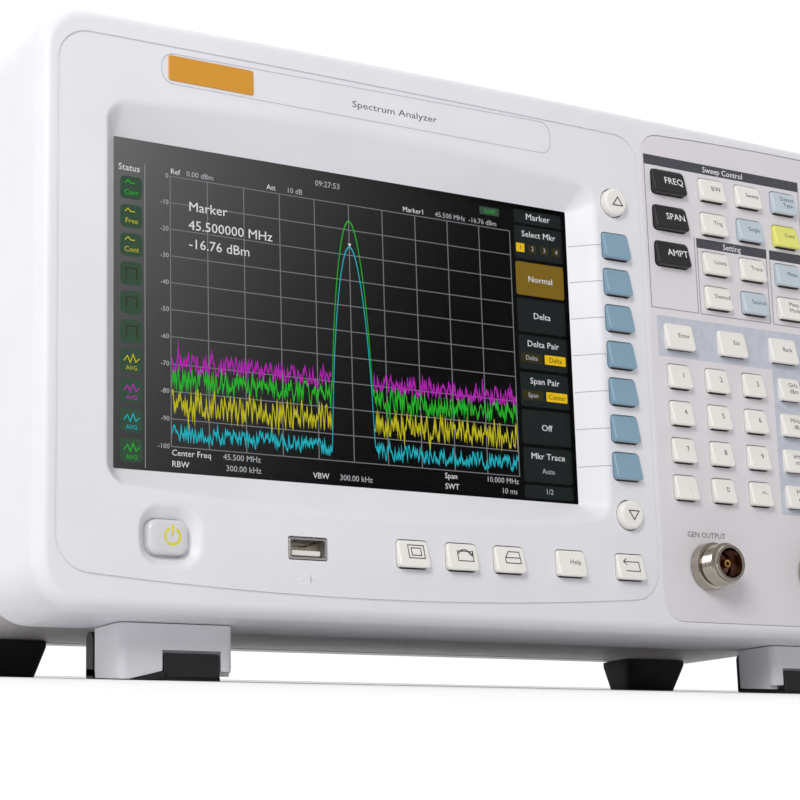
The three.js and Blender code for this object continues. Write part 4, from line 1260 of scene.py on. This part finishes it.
def build_usb_host():
    """A folded steel shell round a tongue with four contacts."""
    box = Box("usb_host_port")
    x, z = box.x, box.z
    wall = 0.7
    shape = Shape().fill(box, 0.9)
    shape.carve(Shape().fill(box, 0.5, -wall, -1, box.back - 1))
    slots = Shape()
    for middle in (x - 3.2, x + 3.2):
        for level in (box.top, box.bottom):
            slots.block(middle - 1.1, middle + 1.1, 2.4, 7, level - 1, level + 1)
    shape.carve(slots)
    shape.ink = 1
    shape.block(x - 5.5, x + 5.5, 1.6, box.back - 0.8, z - 2.2, z - 0.5, 0.4)
    shape.ink = 2
    for middle in (x - 3.5, x - 1.2, x + 1.2, x + 3.5):
        shape.block(middle - 0.45, middle + 0.45, 2.0, 9.5, z - 0.6, z - 0.38)
    piece("usb_host_shell", shape, [BRIGHT_STEEL, TONGUE, GOLD], stands_for=["usb_host_port"])


def build_phones():
    """A round bush with a hole for the plug."""
    jack = Box("phones_jack")
    profile = [(0, 8.8), (1.8, 8.8), (1.8, -0.9), (2.1, -1.15), (4.4, -1.2), (4.85, -0.9), (4.88, -0.35),
               (4.2, 0.15), (4.2, jack.back - 0.4), (3.8, jack.back), (0, jack.back)]
    shape = Shape().turned(profile, jack.x, jack.z, 40)
    piece("phones_bush", shape, [BLACK], stands_for=["phones_jack"])


def build_knob():
    """A turned knob with a fluted side, a domed face and a finger dimple."""
    box = Box("tuning_knob")
    x, z, radius = box.x, box.z, box.width / 2
    front = box.front
    face = [(0, front + 0.9), (radius * 0.45, front + 0.75), (radius * 0.7, front + 0.3),
            (radius * 0.82, front), (radius * 0.9, front + 0.25), (radius * 0.94, front + 1.1)]
    fluted = [(radius * 0.955, front + 2), (radius - 0.25, -1.8)]
    base = [(radius, -1.2), (radius - 0.6, -0.65), (3.6, -0.6), (3.4, -1.0), (3.4, -10), (0, -10)]
    flutes, flute_depth = 36, 0.22
    sections = []
    for size, y in face + fluted + base:
        points = []
        for turn in turns(4 * flutes):
            groove = flute_depth * (1 - math.cos(turn * flutes)) / 2 if (size, y) in fluted else 0
            reach = max(size, 0.001) - groove
            points.append((x + reach * math.cos(turn), z + reach * math.sin(turn)))
        sections.append((y, points))
    shape = Shape().loft(sections)
    bowl = [(4.0, front - 1), (4.0, front + 0.6), (3.4, front + 1.2), (2.0, front + 1.8), (0, front + 2.0)]
    shape.carve(Shape().turned(bowl, x + radius * 0.48, z + radius * 0.3, 36))
    piece("tuning_knob_body", shape, [GREY], "tuning_knob", ["tuning_knob"])


# ---------------------------------------------------------------- case and handle


HANDLE = Box("carry_handle")
HANDLE_HALF, HANDLE_BAR = 118, 8
PIVOT_Y, PIVOT_Z = HANDLE.back - 4, HANDLE.top - 4
SHEET = 1.2
VENTS, VENT_START, VENT_PITCH, VENT_HEIGHT = 10, 76, 6.5, 3


def build_cover():
    """The sheet-metal cover with pressed vents, side screws and the handle's lugs."""
    steps = ((COVER.front, 0), (COVER.back, 0), (COVER.back, SHEET), (COVER.front, SHEET))
    shape = Shape().loft([(y, outline(CASE_OUTLINE, inset, corner=8)) for y, inset in steps], loop=True)
    cutter = Shape().block(-185, 185, 0, 200, TRAY.bottom - 1, TRAY.bottom + 3)
    for index in range(VENTS):
        y = VENT_START + VENT_PITCH * index
        cutter.block(-220, 220, y, y + VENT_HEIGHT, 60, 140, 1.4)
    shape.carve(cutter)
    lugs = Shape()
    lug_foot = CASE_OUTLINE[3] - 0.8
    profile = arc(PIVOT_Y, PIVOT_Z, 5, 0, 180) + [(PIVOT_Y - 5, lug_foot), (PIVOT_Y + 5, lug_foot)]
    for side in (-1, 1):
        arm_inside = HANDLE_HALF - HANDLE_BAR
        lugs.extrude_side(profile, *sorted((side * (arm_inside - 6.4), side * (arm_inside - 0.4))))
    shape.carve(lugs, "UNION")
    shape.carve(Shape().rod((-125, PIVOT_Y, PIVOT_Z), (125, PIVOT_Y, PIVOT_Z), 2.35, 24))
    piece("cover_sheet", shape, [PAINTED], stands_for=["case_cover"])

    screws = Shape()
    for side in (-1, 1):
        for y, z in ((62, 30), (62, 172), (140, 30), (140, 172)):
            add_side_screw(screws, y, z, side)
    piece("cover_screws", screws, [STEEL])


def add_side_screw(shape, y, z, side):
    """A pan-head screw on a side wall, with a cross recess."""
    wall = side * COVER.right
    rings = []
    for rise, radius in ((0.0, 2.9), (0.5, 2.9), (1.1, 2.5), (1.5, 1.7), (1.6, 0.8)):
        rings.append([(wall + side * (rise - 0.1), *point) for point in circle(y, z, radius, 20)])
    head = Shape()
    head.rings(rings)
    depths = sorted((wall + side * 0.9, wall + side * 3))
    for half_y, half_z in ((1.5, 0.3), (0.3, 1.5)):
        head.carve(Shape().block(*depths, y - half_y, y + half_y, z - half_z, z + half_z))
    mesh = bpy.data.meshes.new("screw")
    head.bm.to_mesh(mesh)
    shape.bm.from_mesh(mesh)
    bpy.data.meshes.remove(mesh)


def build_handle():
    """A bail of rounded section with a ribbed rubber grip, on two pins."""
    front, bottom, top = HANDLE.front, HANDLE.top - HANDLE_BAR, HANDLE.top
    outer = (-HANDLE_HALF, HANDLE_HALF, front, PIVOT_Y + 30, 12)
    inner = (HANDLE_BAR - HANDLE_HALF, HANDLE_HALF - HANDLE_BAR, front + 13, PIVOT_Y + 30, 6)

    def section(inset):
        return [(x, min(y, PIVOT_Y)) for x, y in outline(outer, inset, corner=8)]

    levels = ((bottom, 0.9), (bottom + 0.3, 0.3), (bottom + 1, 0),
              (top - 1.4, 0), (top - 0.4, 0.5), (top, 1.4))
    shape = Shape().stack([(z, section(inset)) for z, inset in levels])
    gap_levels = ((bottom - 1, -0.6), (bottom + 0.6, 0), (top - 0.8, 0), (top + 1, -1.4))
    shape.carve(Shape().stack([(z, outline(inner, inset)) for z, inset in gap_levels]))
    for side in (-1, 1):
        left, right = sorted((side * (HANDLE_HALF - HANDLE_BAR), side * HANDLE_HALF))
        shape.rod((left, PIVOT_Y, PIVOT_Z), (right, PIVOT_Y, PIVOT_Z), 4, 28, 0.5)
        shape.rod((side * 104.8, PIVOT_Y, PIVOT_Z), (side * 113, PIVOT_Y, PIVOT_Z), 2, 16, 0.3)
    shape.ink = 1
    ribs, reach = 25, 52
    for index in range(ribs):
        x = -reach + 2 * reach * index / (ribs - 1)
        shape.block(x - 1.4, x + 1.4, front + 1.2, front + 11.8, bottom - 0.15, top - 0.05, 0.6)
    piece("handle_bail", shape, [GREY, RUBBER], "carry_handle", ["carry_handle"])


def build_tray():
    """The underside: one plain folded tray."""
    left, right, bottom, top = TRAY.left, TRAY.right, TRAY.bottom, TRAY.top
    profile = [(left, top), (left, bottom + 1.4), (left + 0.4, bottom + 0.4), (left + 1.4, bottom),
               (right - 1.4, bottom), (right - 0.4, bottom + 0.4), (right, bottom + 1.4), (right, top),
               (right - SHEET, top), (right - SHEET, bottom + 2.0), (right - 2.0, bottom + SHEET),
               (left + 2.0, bottom + SHEET), (left + SHEET, bottom + 2.0), (left + SHEET, top)]
    shape = Shape().prism(profile, TRAY.front, TRAY.back)
    piece("underside_tray", shape, [PAINTED], stands_for=["chassis_tray"])


# ---------------------------------------------------------------- rear


REAR_CUT = (REAR.front - 1, REAR.back + 1)
REFERENCE_SOCKETS = ("reference_in_socket", "reference_out_socket")


def behind_rear(x, z):
    return -REAR.back


def build_rear():
    build_rear_sheet()
    shape = Shape()
    words = (("lan_jack", "LAN"), ("usb_device_port", "USB"), ("reference_in_socket", "10 MHz IN"),
             ("reference_out_socket", "10 MHz OUT"))
    for node, label in words:
        box = Box(node)
        lettering(shape, label, -box.x, box.top + 3.4, 2.8, behind_rear)
    for vertex in shape.bm.verts:  # turned round, to be read from behind
        vertex.co.x, vertex.co.y = -vertex.co.x, -vertex.co.y
    piece("rear_print", shape, [DARK_INK])

    fan = Box("fan_frame")
    screws = Shape()
    head = [(REAR.back + rise, radius) for radius, rise in
            ((0.9, 1.4), (2.0, 1.25), (2.9, 0.8), (3.1, 0.0), (3.1, -0.1))]
    for dx in (-36, 36):
        for dz in (-36, 36):
            screws.turned([(radius, y) for y, radius in head], fan.x + dx, fan.z + dz, 24)
    piece("fan_screws", screws, [STEEL])
    build_rear_frame()


def build_rear_sheet():
    """The rear panel, with rings of slots over the fan and a hole for each socket."""
    fan = Box("fan_frame")
    cutter = Shape()
    for ring in range(5):
        inner, outer = 7.0 + 6.0 * ring, 11.0 + 6.0 * ring
        for quarter in range(4):
            start, end = 90 * quarter + 45 + 130 / outer, 90 * quarter + 135 - 130 / outer
            sector = arc(fan.x, fan.z, outer, start, end, 12) + arc(fan.x, fan.z, inner, end, start, 12)
            cutter.prism(sector, *REAR_CUT)
    for node, clearance in (("lan_jack", 0.4), ("usb_device_port", 0.4), ("mains_inlet", -2.5)):
        cutter.fill(Box(node), 0.5, clearance, *REAR_CUT)
    for node in REFERENCE_SOCKETS:
        box = Box(node)
        cutter.prism(circle(box.x, box.z, 5.2), *REAR_CUT)
    shape = Shape().prism(outline(REAR.edges(8.3), corner=8), REAR.front, REAR.back)
    shape.carve(cutter)
    piece("rear_sheet", shape, [PAINTED], stands_for=["rear_panel"])


def build_rear_frame():
    """A moulded frame that guards the rear panel's sockets."""
    front, back = REAR_FRAME.front, REAR_FRAME.back
    outer = [(front, 0), (back - 3.2, 0), (back - 1.6, 0.35), (back - 0.5, 1.2), (back, 2.6)]
    inner = [(back, 5.6), (back - 0.6, 6.6), (back - 1.6, 7.0), (back - 4, 6.4), (front, 6)]
    shape = Shape()
    shape.loft([(y, outline(CASE_OUTLINE, inset, corner=10)) for y, inset in outer + inner], loop=True)
    piece("rear_guard", shape, [WHITE], stands_for=["rear_frame"])


def build_fan():
    cad = Box("fan_frame")
    x, z = cad.x, cad.z
    front, back = cad.front, cad.back
    shape = Shape().prism(outline(cad.edges(4), corner=4), front, back)
    bore = [(35.5, front - 1), (36.6, front + 3), (37, front + 6), (37, back + 1)]
    shape.carve(Shape().turned(bore, x, z, 64))
    shape.rod((x, front, z), (x, front + 2.6, z), 16, 40)
    strut_y = front + 1.4
    for index in range(4):
        turn = math.radians(45 + 90 * index)
        start, end = ((x + reach * math.cos(turn), strut_y, z + reach * math.sin(turn)) for reach in (15, 38))
        shape.rod(start, end, 1.3, 12)
    piece("fan_housing", shape, [BLACK], stands_for=["fan_frame"])

    hub = [(0, front + 4), (15, front + 4), (15, back - 3.4), (14.4, back - 2.2), (12, back - 1.6),
           (0, back - 1.6)]
    shape = Shape().turned(hub, x, z, 40)
    blades = 7
    for turn in turns(blades):
        add_blade(shape, Vector((x, Box("fan_rotor").y + 0.5, z)), turn)
    piece("fan_impeller", shape, [BLACK], "fan_rotor", ["fan_rotor"])


def add_blade(shape, hub, start):
    """A swept blade of aerofoil section, which is wider and flatter towards its tip."""
    stations = 6
    aerofoil = ((-1, 0.0), (-0.5, 0.55), (0.3, 0.6), (1, 0.0), (0.3, -0.35), (-0.5, -0.3))
    thickening = 1.5
    rings = []
    for step in range(stations + 1):
        share = step / stations
        turn = start + 0.5 * share ** 1.4
        pitch = 0.75 - 0.3 * share
        chord = 5.6 + 1.4 * share
        out = Vector((math.cos(turn), 0, math.sin(turn)))
        across = Vector((-math.sin(turn), 0, math.cos(turn)))
        middle = hub + out * (14.2 + 20.4 * share)
        tilt = across * math.cos(pitch) + Vector((0, 1, 0)) * math.sin(pitch)
        normal = out.cross(tilt)
        rings.append([middle + tilt * (along * chord) + normal * height * thickening
                      for along, height in aerofoil])
    shape.rings(rings)


def build_rear_sockets():
    for node in REFERENCE_SOCKETS:
        build_reference_socket(node)
    build_square_socket("lan_jack", 1.4)
    build_square_socket("usb_device_port", 1.3)
    build_inlet()


def build_reference_socket(node):
    """A bayonet socket: a barrel with two lugs, its nut and its insulator."""
    cad = Box(node)
    x, z, front, back = cad.x, cad.z, cad.front, cad.back
    barrel = [(4.8, front), (4.8, back - 11), (4.6, back - 10.6), (4.6, back - 0.5), (4.3, back), (3.9, back),
              (3.7, back - 0.6), (3.7, back - 8), (0, back - 8), (0, front)]
    shape = Shape().turned(barrel, x, z, 40, loop=True)
    for side in (-1, 1):
        shape.rod((x + side * 4.2, back - 3.5, z), (x + side * 5.75, back - 3.5, z), 0.95, 16, 0.2)
    shape.prism(circle(x, z, 5.5, 6), REAR.back + 0.05, REAR.back + 1.8)
    shape.ink = 1
    insulator = [(0, back - 8.2), (2.2, back - 8.2), (2.2, back - 2.5), (0.8, back - 2.5), (0.8, back - 3),
                 (0, back - 3)]
    shape.turned(insulator, x, z, 24)
    piece(node + "_barrel", shape, [NICKEL, PALE], stands_for=[node])


def build_square_socket(node, wall):
    """A folded shell with a recess and a row of contacts."""
    cad = Box(node)
    x, z, back = cad.x, cad.z, cad.back
    left, right, bottom, top, _ = cad.edges(0, grow=-wall)
    shape = Shape().fill(cad, 0.5)
    shape.carve(Shape().block(left, right, back - 10, back + 1, bottom, top, 0.8))
    shape.ink = 1
    if node == "lan_jack":
        lamp = 2.6
        for side in (left, right - lamp):
            shape.block(side, side + lamp, back - 10.5, back - 0.3, top - 3.0, top + 0.1)
        shape.ink = 2
        for index in range(8):
            wire = x - 3.57 + 1.02 * index
            shape.rod((wire, back - 9.8, top - 4.6), (wire, back - 2.5, bottom + 1.6), 0.22, 8)
    else:
        shape.block(x - 2.8, x + 2.8, back - 10.6, back - 1.2, z - 1.6, z + 1.6, 0.4)
        shape.ink = 2
        for strip_x in (x - 1.4, x + 1.4):
            for strip_z in (z - 1.7, z + 1.7):
                shape.block(strip_x - 0.4, strip_x + 0.4, back - 9, back - 1.6,
                            strip_z - 0.12, strip_z + 0.12)
    piece(node + "_shell", shape, [STEEL, BLACK, GOLD], stands_for=[node])


def build_inlet():
    """A mains inlet: its flange, a chamfered well and three blades."""
    cad = Box("mains_inlet")
    x, z, back = cad.x, cad.z, cad.back
    levels = ((REAR.back + 0.4, 0), (back - 0.8, 0), (back - 0.2, 0.4), (back, 1.0))
    shape = Shape().loft([(y, outline(cad.edges(2.5), inset)) for y, inset in levels])
    body = Shape().block(x - 13.3, x + 13.3, cad.front, REAR.back + 1.2, z - 9.5, z + 9.5, 1.5)
    shape.carve(body, "UNION")
    well = [(x - 12, z - 8), (x + 12, z - 8), (x + 12, z + 4), (x + 8, z + 8), (x - 8, z + 8),
            (x - 12, z + 4)]
    shape.carve(Shape().prism(well, cad.front + 2, back + 1))
    shape.ink = 1
    for blade_x, blade_z in ((x - 7, z - 1.5), (x, z + 3), (x + 7, z - 1.5)):
        shape.block(blade_x - 1, blade_x + 1, cad.front + 1.5, back - 4.6, blade_z - 2, blade_z + 2, 0.5)
    piece("mains_inlet_body", shape, [BLACK, STEEL], stands_for=["mains_inlet"])


# ---------------------------------------------------------------- feet


def ground(y):
    """Height of the surface that the instrument stands on, in the leaning case frame."""
    low = CASE.inverted() @ Vector((0, 0, 0))
    slope = (CASE.inverted() @ Vector((0, 1, 0))) - low
    return low.z / MM + slope.z / slope.y * (y - low.y / MM)


class Foot:
    """Sizes of a front foot. Distances across it run from its centre towards the middle of the instrument."""

    PIVOT_Y, PIVOT_Z, PIVOT_RADIUS = 47.4, -3.4, 2.6
    LIP = 1.8  # the shoe's front wall, which hides the leg's sole
    SOLE = 1.3
    TAB = (-5.0, 15.4)
    TAB_TOP = -10.0
    RAMP_START, RAMP_SLOPE = -16.0, 0.24

    def __init__(self, name):
        self.shoe = Box("front_foot_" + name)
        self.centre = self.shoe.x
        self.inwards = -1 if self.centre > 0 else 1
        self.half = self.shoe.width / 2
        self.front, self.back = self.shoe.front, self.shoe.front + 22

    def span(self, start, end):
        return sorted(self.centre + self.inwards * across for across in (start, end))

    def turned_inwards(self, points):
        return [(self.centre + self.inwards * across, z) for across, z in points]

    def ramp_top(self, across):
        return ground(self.front) + 0.35 + self.RAMP_SLOPE * (across - self.RAMP_START)

    def axle(self, left, right, radius, steps):
        pivot = (self.PIVOT_Y, self.PIVOT_Z)
        return Shape().rod((left, *pivot), (right, *pivot), radius, steps)


def build_front_foot(name):
    """The white shoe, with a notch for the leg's tab, and the lug that holds the leg."""
    foot = Foot(name)
    centre, half, front, back = foot.centre, foot.half, foot.front, foot.back
    below, gap = -30, 0.35
    edges = (centre - half, centre + half, front, back, 3)
    levels = [(ground(front), 0.9), (ground(front) + 1.2, 0.25), (ground(front) + 5, 0), (foot.shoe.top, 0)]
    shape = Shape().stack([(z, outline(edges, inset, corner=8)) for z, inset in levels])
    for y0, clearance, outer in ((front - 5, gap, -30), (front + foot.LIP, foot.SOLE + gap, foot.LIP - half)):
        y1 = back + 9
        under = [(y0, ground(y0) + clearance), (y0, below - 10), (y1, below - 10),
                 (y1, ground(y1) + clearance)]
        shape.carve(Shape().extrude_side(under, *foot.span(outer, 30)))
    start = foot.RAMP_START - gap / foot.RAMP_SLOPE
    top = foot.ramp_top(foot.TAB[0]) + gap
    corners = [(start, below), (start, foot.ramp_top(foot.RAMP_START)), (foot.TAB[0], top), (half + 1, top),
               (half + 1, below)]
    shape.carve(Shape().prism(foot.turned_inwards(corners), front - 1, front + foot.LIP + 1.7))
    notch = [(front - 1, foot.TAB_TOP + 1), (front - 1, below), (front + 6.4, below),
             (front + 6.4, ground(front) + foot.SOLE), (front + 2, foot.TAB_TOP + 1)]
    shape.carve(Shape().extrude_side(notch, *foot.span(foot.TAB[0] - 0.5, foot.TAB[1] + 0.6)))
    reach = foot.PIVOT_Y + foot.PIVOT_RADIUS
    tongue = [(back - 1, -0.4), (back - 1, foot.PIVOT_Z - 2.8), (foot.PIVOT_Y, foot.PIVOT_Z - 2.8),
              (reach - 0.8, foot.PIVOT_Z - 2.0), (reach, foot.PIVOT_Z), (reach, -0.4)]
    shape.carve(Shape().extrude_side(tongue, centre - 6, centre + 6), "UNION")
    shape.carve(foot.axle(centre - 30, centre + 30, 1.65, 20))
    piece("front_shoe_" + name, shape, [WHITE], stands_for=["front_foot_" + name])


def build_leg(name):
    """The folding leg: its sole behind the shoe's lip, a finger tab, and two cheeks on an axle."""
    node = "tilt_leg_" + name
    foot = Foot(name)
    gap = 0.35
    near, far = foot.back + gap, foot.PIVOT_Y + foot.PIVOT_RADIUS
    front = Box(node).front + 0.05
    behind_lip = foot.front + foot.LIP + gap
    outer = 0.5 - foot.half
    plate = [(front, ground(front)), (far - 0.6, ground(far - 0.6)), (far, ground(far) + 0.6),
             (far, ground(far) + 3.2), (near, ground(near) + 3.2), (near, ground(near) + foot.SOLE),
             (front, ground(front) + foot.SOLE)]
    shape = Shape().extrude_side(plate, *foot.span(outer, foot.TAB[1]))
    for start, rear in ((foot.TAB[0], behind_lip), (foot.LIP + gap - foot.half, near)):
        shape.carve(Shape().block(*foot.span(outer - 1, start), front - 1, rear, -30, foot.TAB_TOP))
    inside = foot.TAB[0] + 1
    low = foot.ramp_top(foot.RAMP_START)
    ramp = [(foot.RAMP_START, low), (inside, low), (inside, foot.ramp_top(inside))]
    shape.prism(foot.turned_inwards(ramp), front, behind_lip + 0.9)
    shape.block(*foot.span(*foot.TAB), front, front + 1.5, ground(front) + 0.2, foot.TAB_TOP, 0.8)
    cheek = [(near, ground(near) + 1), (far, ground(far) + 1), (far, foot.PIVOT_Z)]
    cheek += arc(foot.PIVOT_Y, foot.PIVOT_Z, foot.PIVOT_RADIUS, 15, 180, 12)
    cheek.append((near, foot.PIVOT_Z))
    for start, end in ((outer, -6.5), (6.5, foot.TAB[1])):
        shape.extrude_side(cheek, *foot.span(start, end))
    left, right = foot.span(outer + 2, foot.TAB[1] - 2)
    shape.rod((left, foot.PIVOT_Y, foot.PIVOT_Z), (right, foot.PIVOT_Y, foot.PIVOT_Z), 1.3, 16)
    piece("leg_" + name, shape, [BLACK], node, [node])


def build_rear_foot(name):
    """A rubber foot that narrows downwards and is cut off where the instrument stands."""
    cad = Box("rear_foot_" + name)
    x = cad.x
    upper = outline((cad.left, cad.right, cad.front, cad.back, 3))
    lower = outline((x - 12.4, x + 12.4, 144, 156, 3))
    waist = blend(upper, lower, 0.06)
    shape = Shape().stack([(cad.top, upper), (cad.top - 2, upper), (cad.top - 3, waist), (-12, lower)])
    under = [(120, ground(120)), (120, -40), (170, -40), (170, ground(170))]
    shape.carve(Shape().extrude_side(under, x - 30, x + 30))
    piece("rear_pad_" + name, shape, [RUBBER], stands_for=["rear_foot_" + name])


# ---------------------------------------------------------------- carried-over CAD nodes

CARRIED = {
    "key_board": BOARD, "keypad_mat": SILICONE, "main_board": BOARD, "rf_shield": ALUMINIUM,
    "power_supply": CHIP, "knob_encoder": STEEL,
}


def finish_carried_nodes():
    for node, finish in CARRIED.items():
        item = NODES[node]
        if item.material_slots:
            for place in item.material_slots:
                place.link = "OBJECT"
                place.material = finish
        else:
            item.data.materials.append(finish)


# ---------------------------------------------------------------- stage


def build_stage():
    floor = bpy.data.meshes.new("floor")
    reach = 6.0
    floor.from_pydata([(-reach, -reach, 0), (reach, -reach, 0), (reach, reach, 0), (-reach, reach, 0)], [],
                      [(0, 1, 2, 3)])
    nodes = Nodes("floor_paper")
    nodes.tint((230, 230, 231), nodes.noise(120), 0.01)
    nodes.shader.inputs["Roughness"].default_value = 0.9
    nodes.shader.inputs["Specular IOR Level"].default_value = 0.1
    floor.materials.append(nodes.material)
    item = bpy.data.objects.new("floor", floor)
    bpy.context.scene.collection.objects.link(item)

    world = bpy.data.worlds.new("studio")
    world.use_nodes = True
    tree = world.node_tree
    direction = tree.nodes.new("ShaderNodeTexCoord").outputs["Generated"]
    parts = tree.nodes.new("ShaderNodeSeparateXYZ")
    tree.links.new(direction, parts.inputs["Vector"])
    backdrop = tree.nodes.new("ShaderNodeMapRange")
    backdrop.inputs["From Min"].default_value = -0.4
    backdrop.inputs["From Max"].default_value = 0.4
    backdrop.inputs["To Min"].default_value = 0.36
    backdrop.inputs["To Max"].default_value = 1.05
    tree.links.new(parts.outputs["Y"], backdrop.inputs["Value"])
    tree.links.new(backdrop.outputs["Result"], tree.nodes["Background"].inputs["Strength"])
    tree.nodes["Background"].inputs["Color"].default_value = (1, 1, 1, 1)
    bpy.context.scene.world = world
    bpy.context.scene.view_settings.view_transform = "Standard"

    add_light("key", (-1.3, -1.3, 1.1), 0.8, 21)
    add_light("overhead", (0, 0.1, 2.0), 2.0, 5)


def add_light(name, place, size, power):
    light = bpy.data.lights.new(name, "AREA")
    light.size = size
    light.energy = power
    item = bpy.data.objects.new(name, light)
    item.location = place
    item.rotation_euler = (Vector((0, 0, 0.1)) - Vector(place)).to_track_quat("-Z", "Y").to_euler()
    bpy.context.scene.collection.objects.link(item)


def build_camera():
    """Near the bench, to the left, looking slightly up."""
    heading, pitch, roll = math.radians(31.7), math.radians(7.8), math.radians(1.24)
    place = (-440.5, -596.2, -76.6)  # in the case frame, in millimetres
    data = bpy.data.cameras.new("camera")
    data.sensor_width = 36
    data.lens = 92.97
    data.clip_start = 0.01
    camera = bpy.data.objects.new("camera", data)
    turn = Matrix.Rotation(-heading, 4, "Z") @ Matrix.Rotation(math.pi / 2 + pitch, 4, "X")
    stand = Matrix.Translation(CASE @ (Vector(place) * MM))
    camera.matrix_world = stand @ turn @ Matrix.Rotation(roll, 4, "Z")
    bpy.context.scene.collection.objects.link(camera)
    bpy.context.scene.camera = camera


build_camera()
build_stage()
build_bezel()
build_fascia()
build_keys()
build_front_print()
build_name_strip()
build_display()
build_coax("output", "output_socket", "output_contact")
build_coax("input", "input_socket", "input_contact")
build_usb_host()
build_phones()
build_knob()
build_cover()
build_handle()
build_tray()
build_rear()
build_fan()
build_rear_sockets()
for side_name in ("left", "right"):
    build_front_foot(side_name)
    build_leg(side_name)
    build_rear_foot(side_name)
finish_carried_nodes()
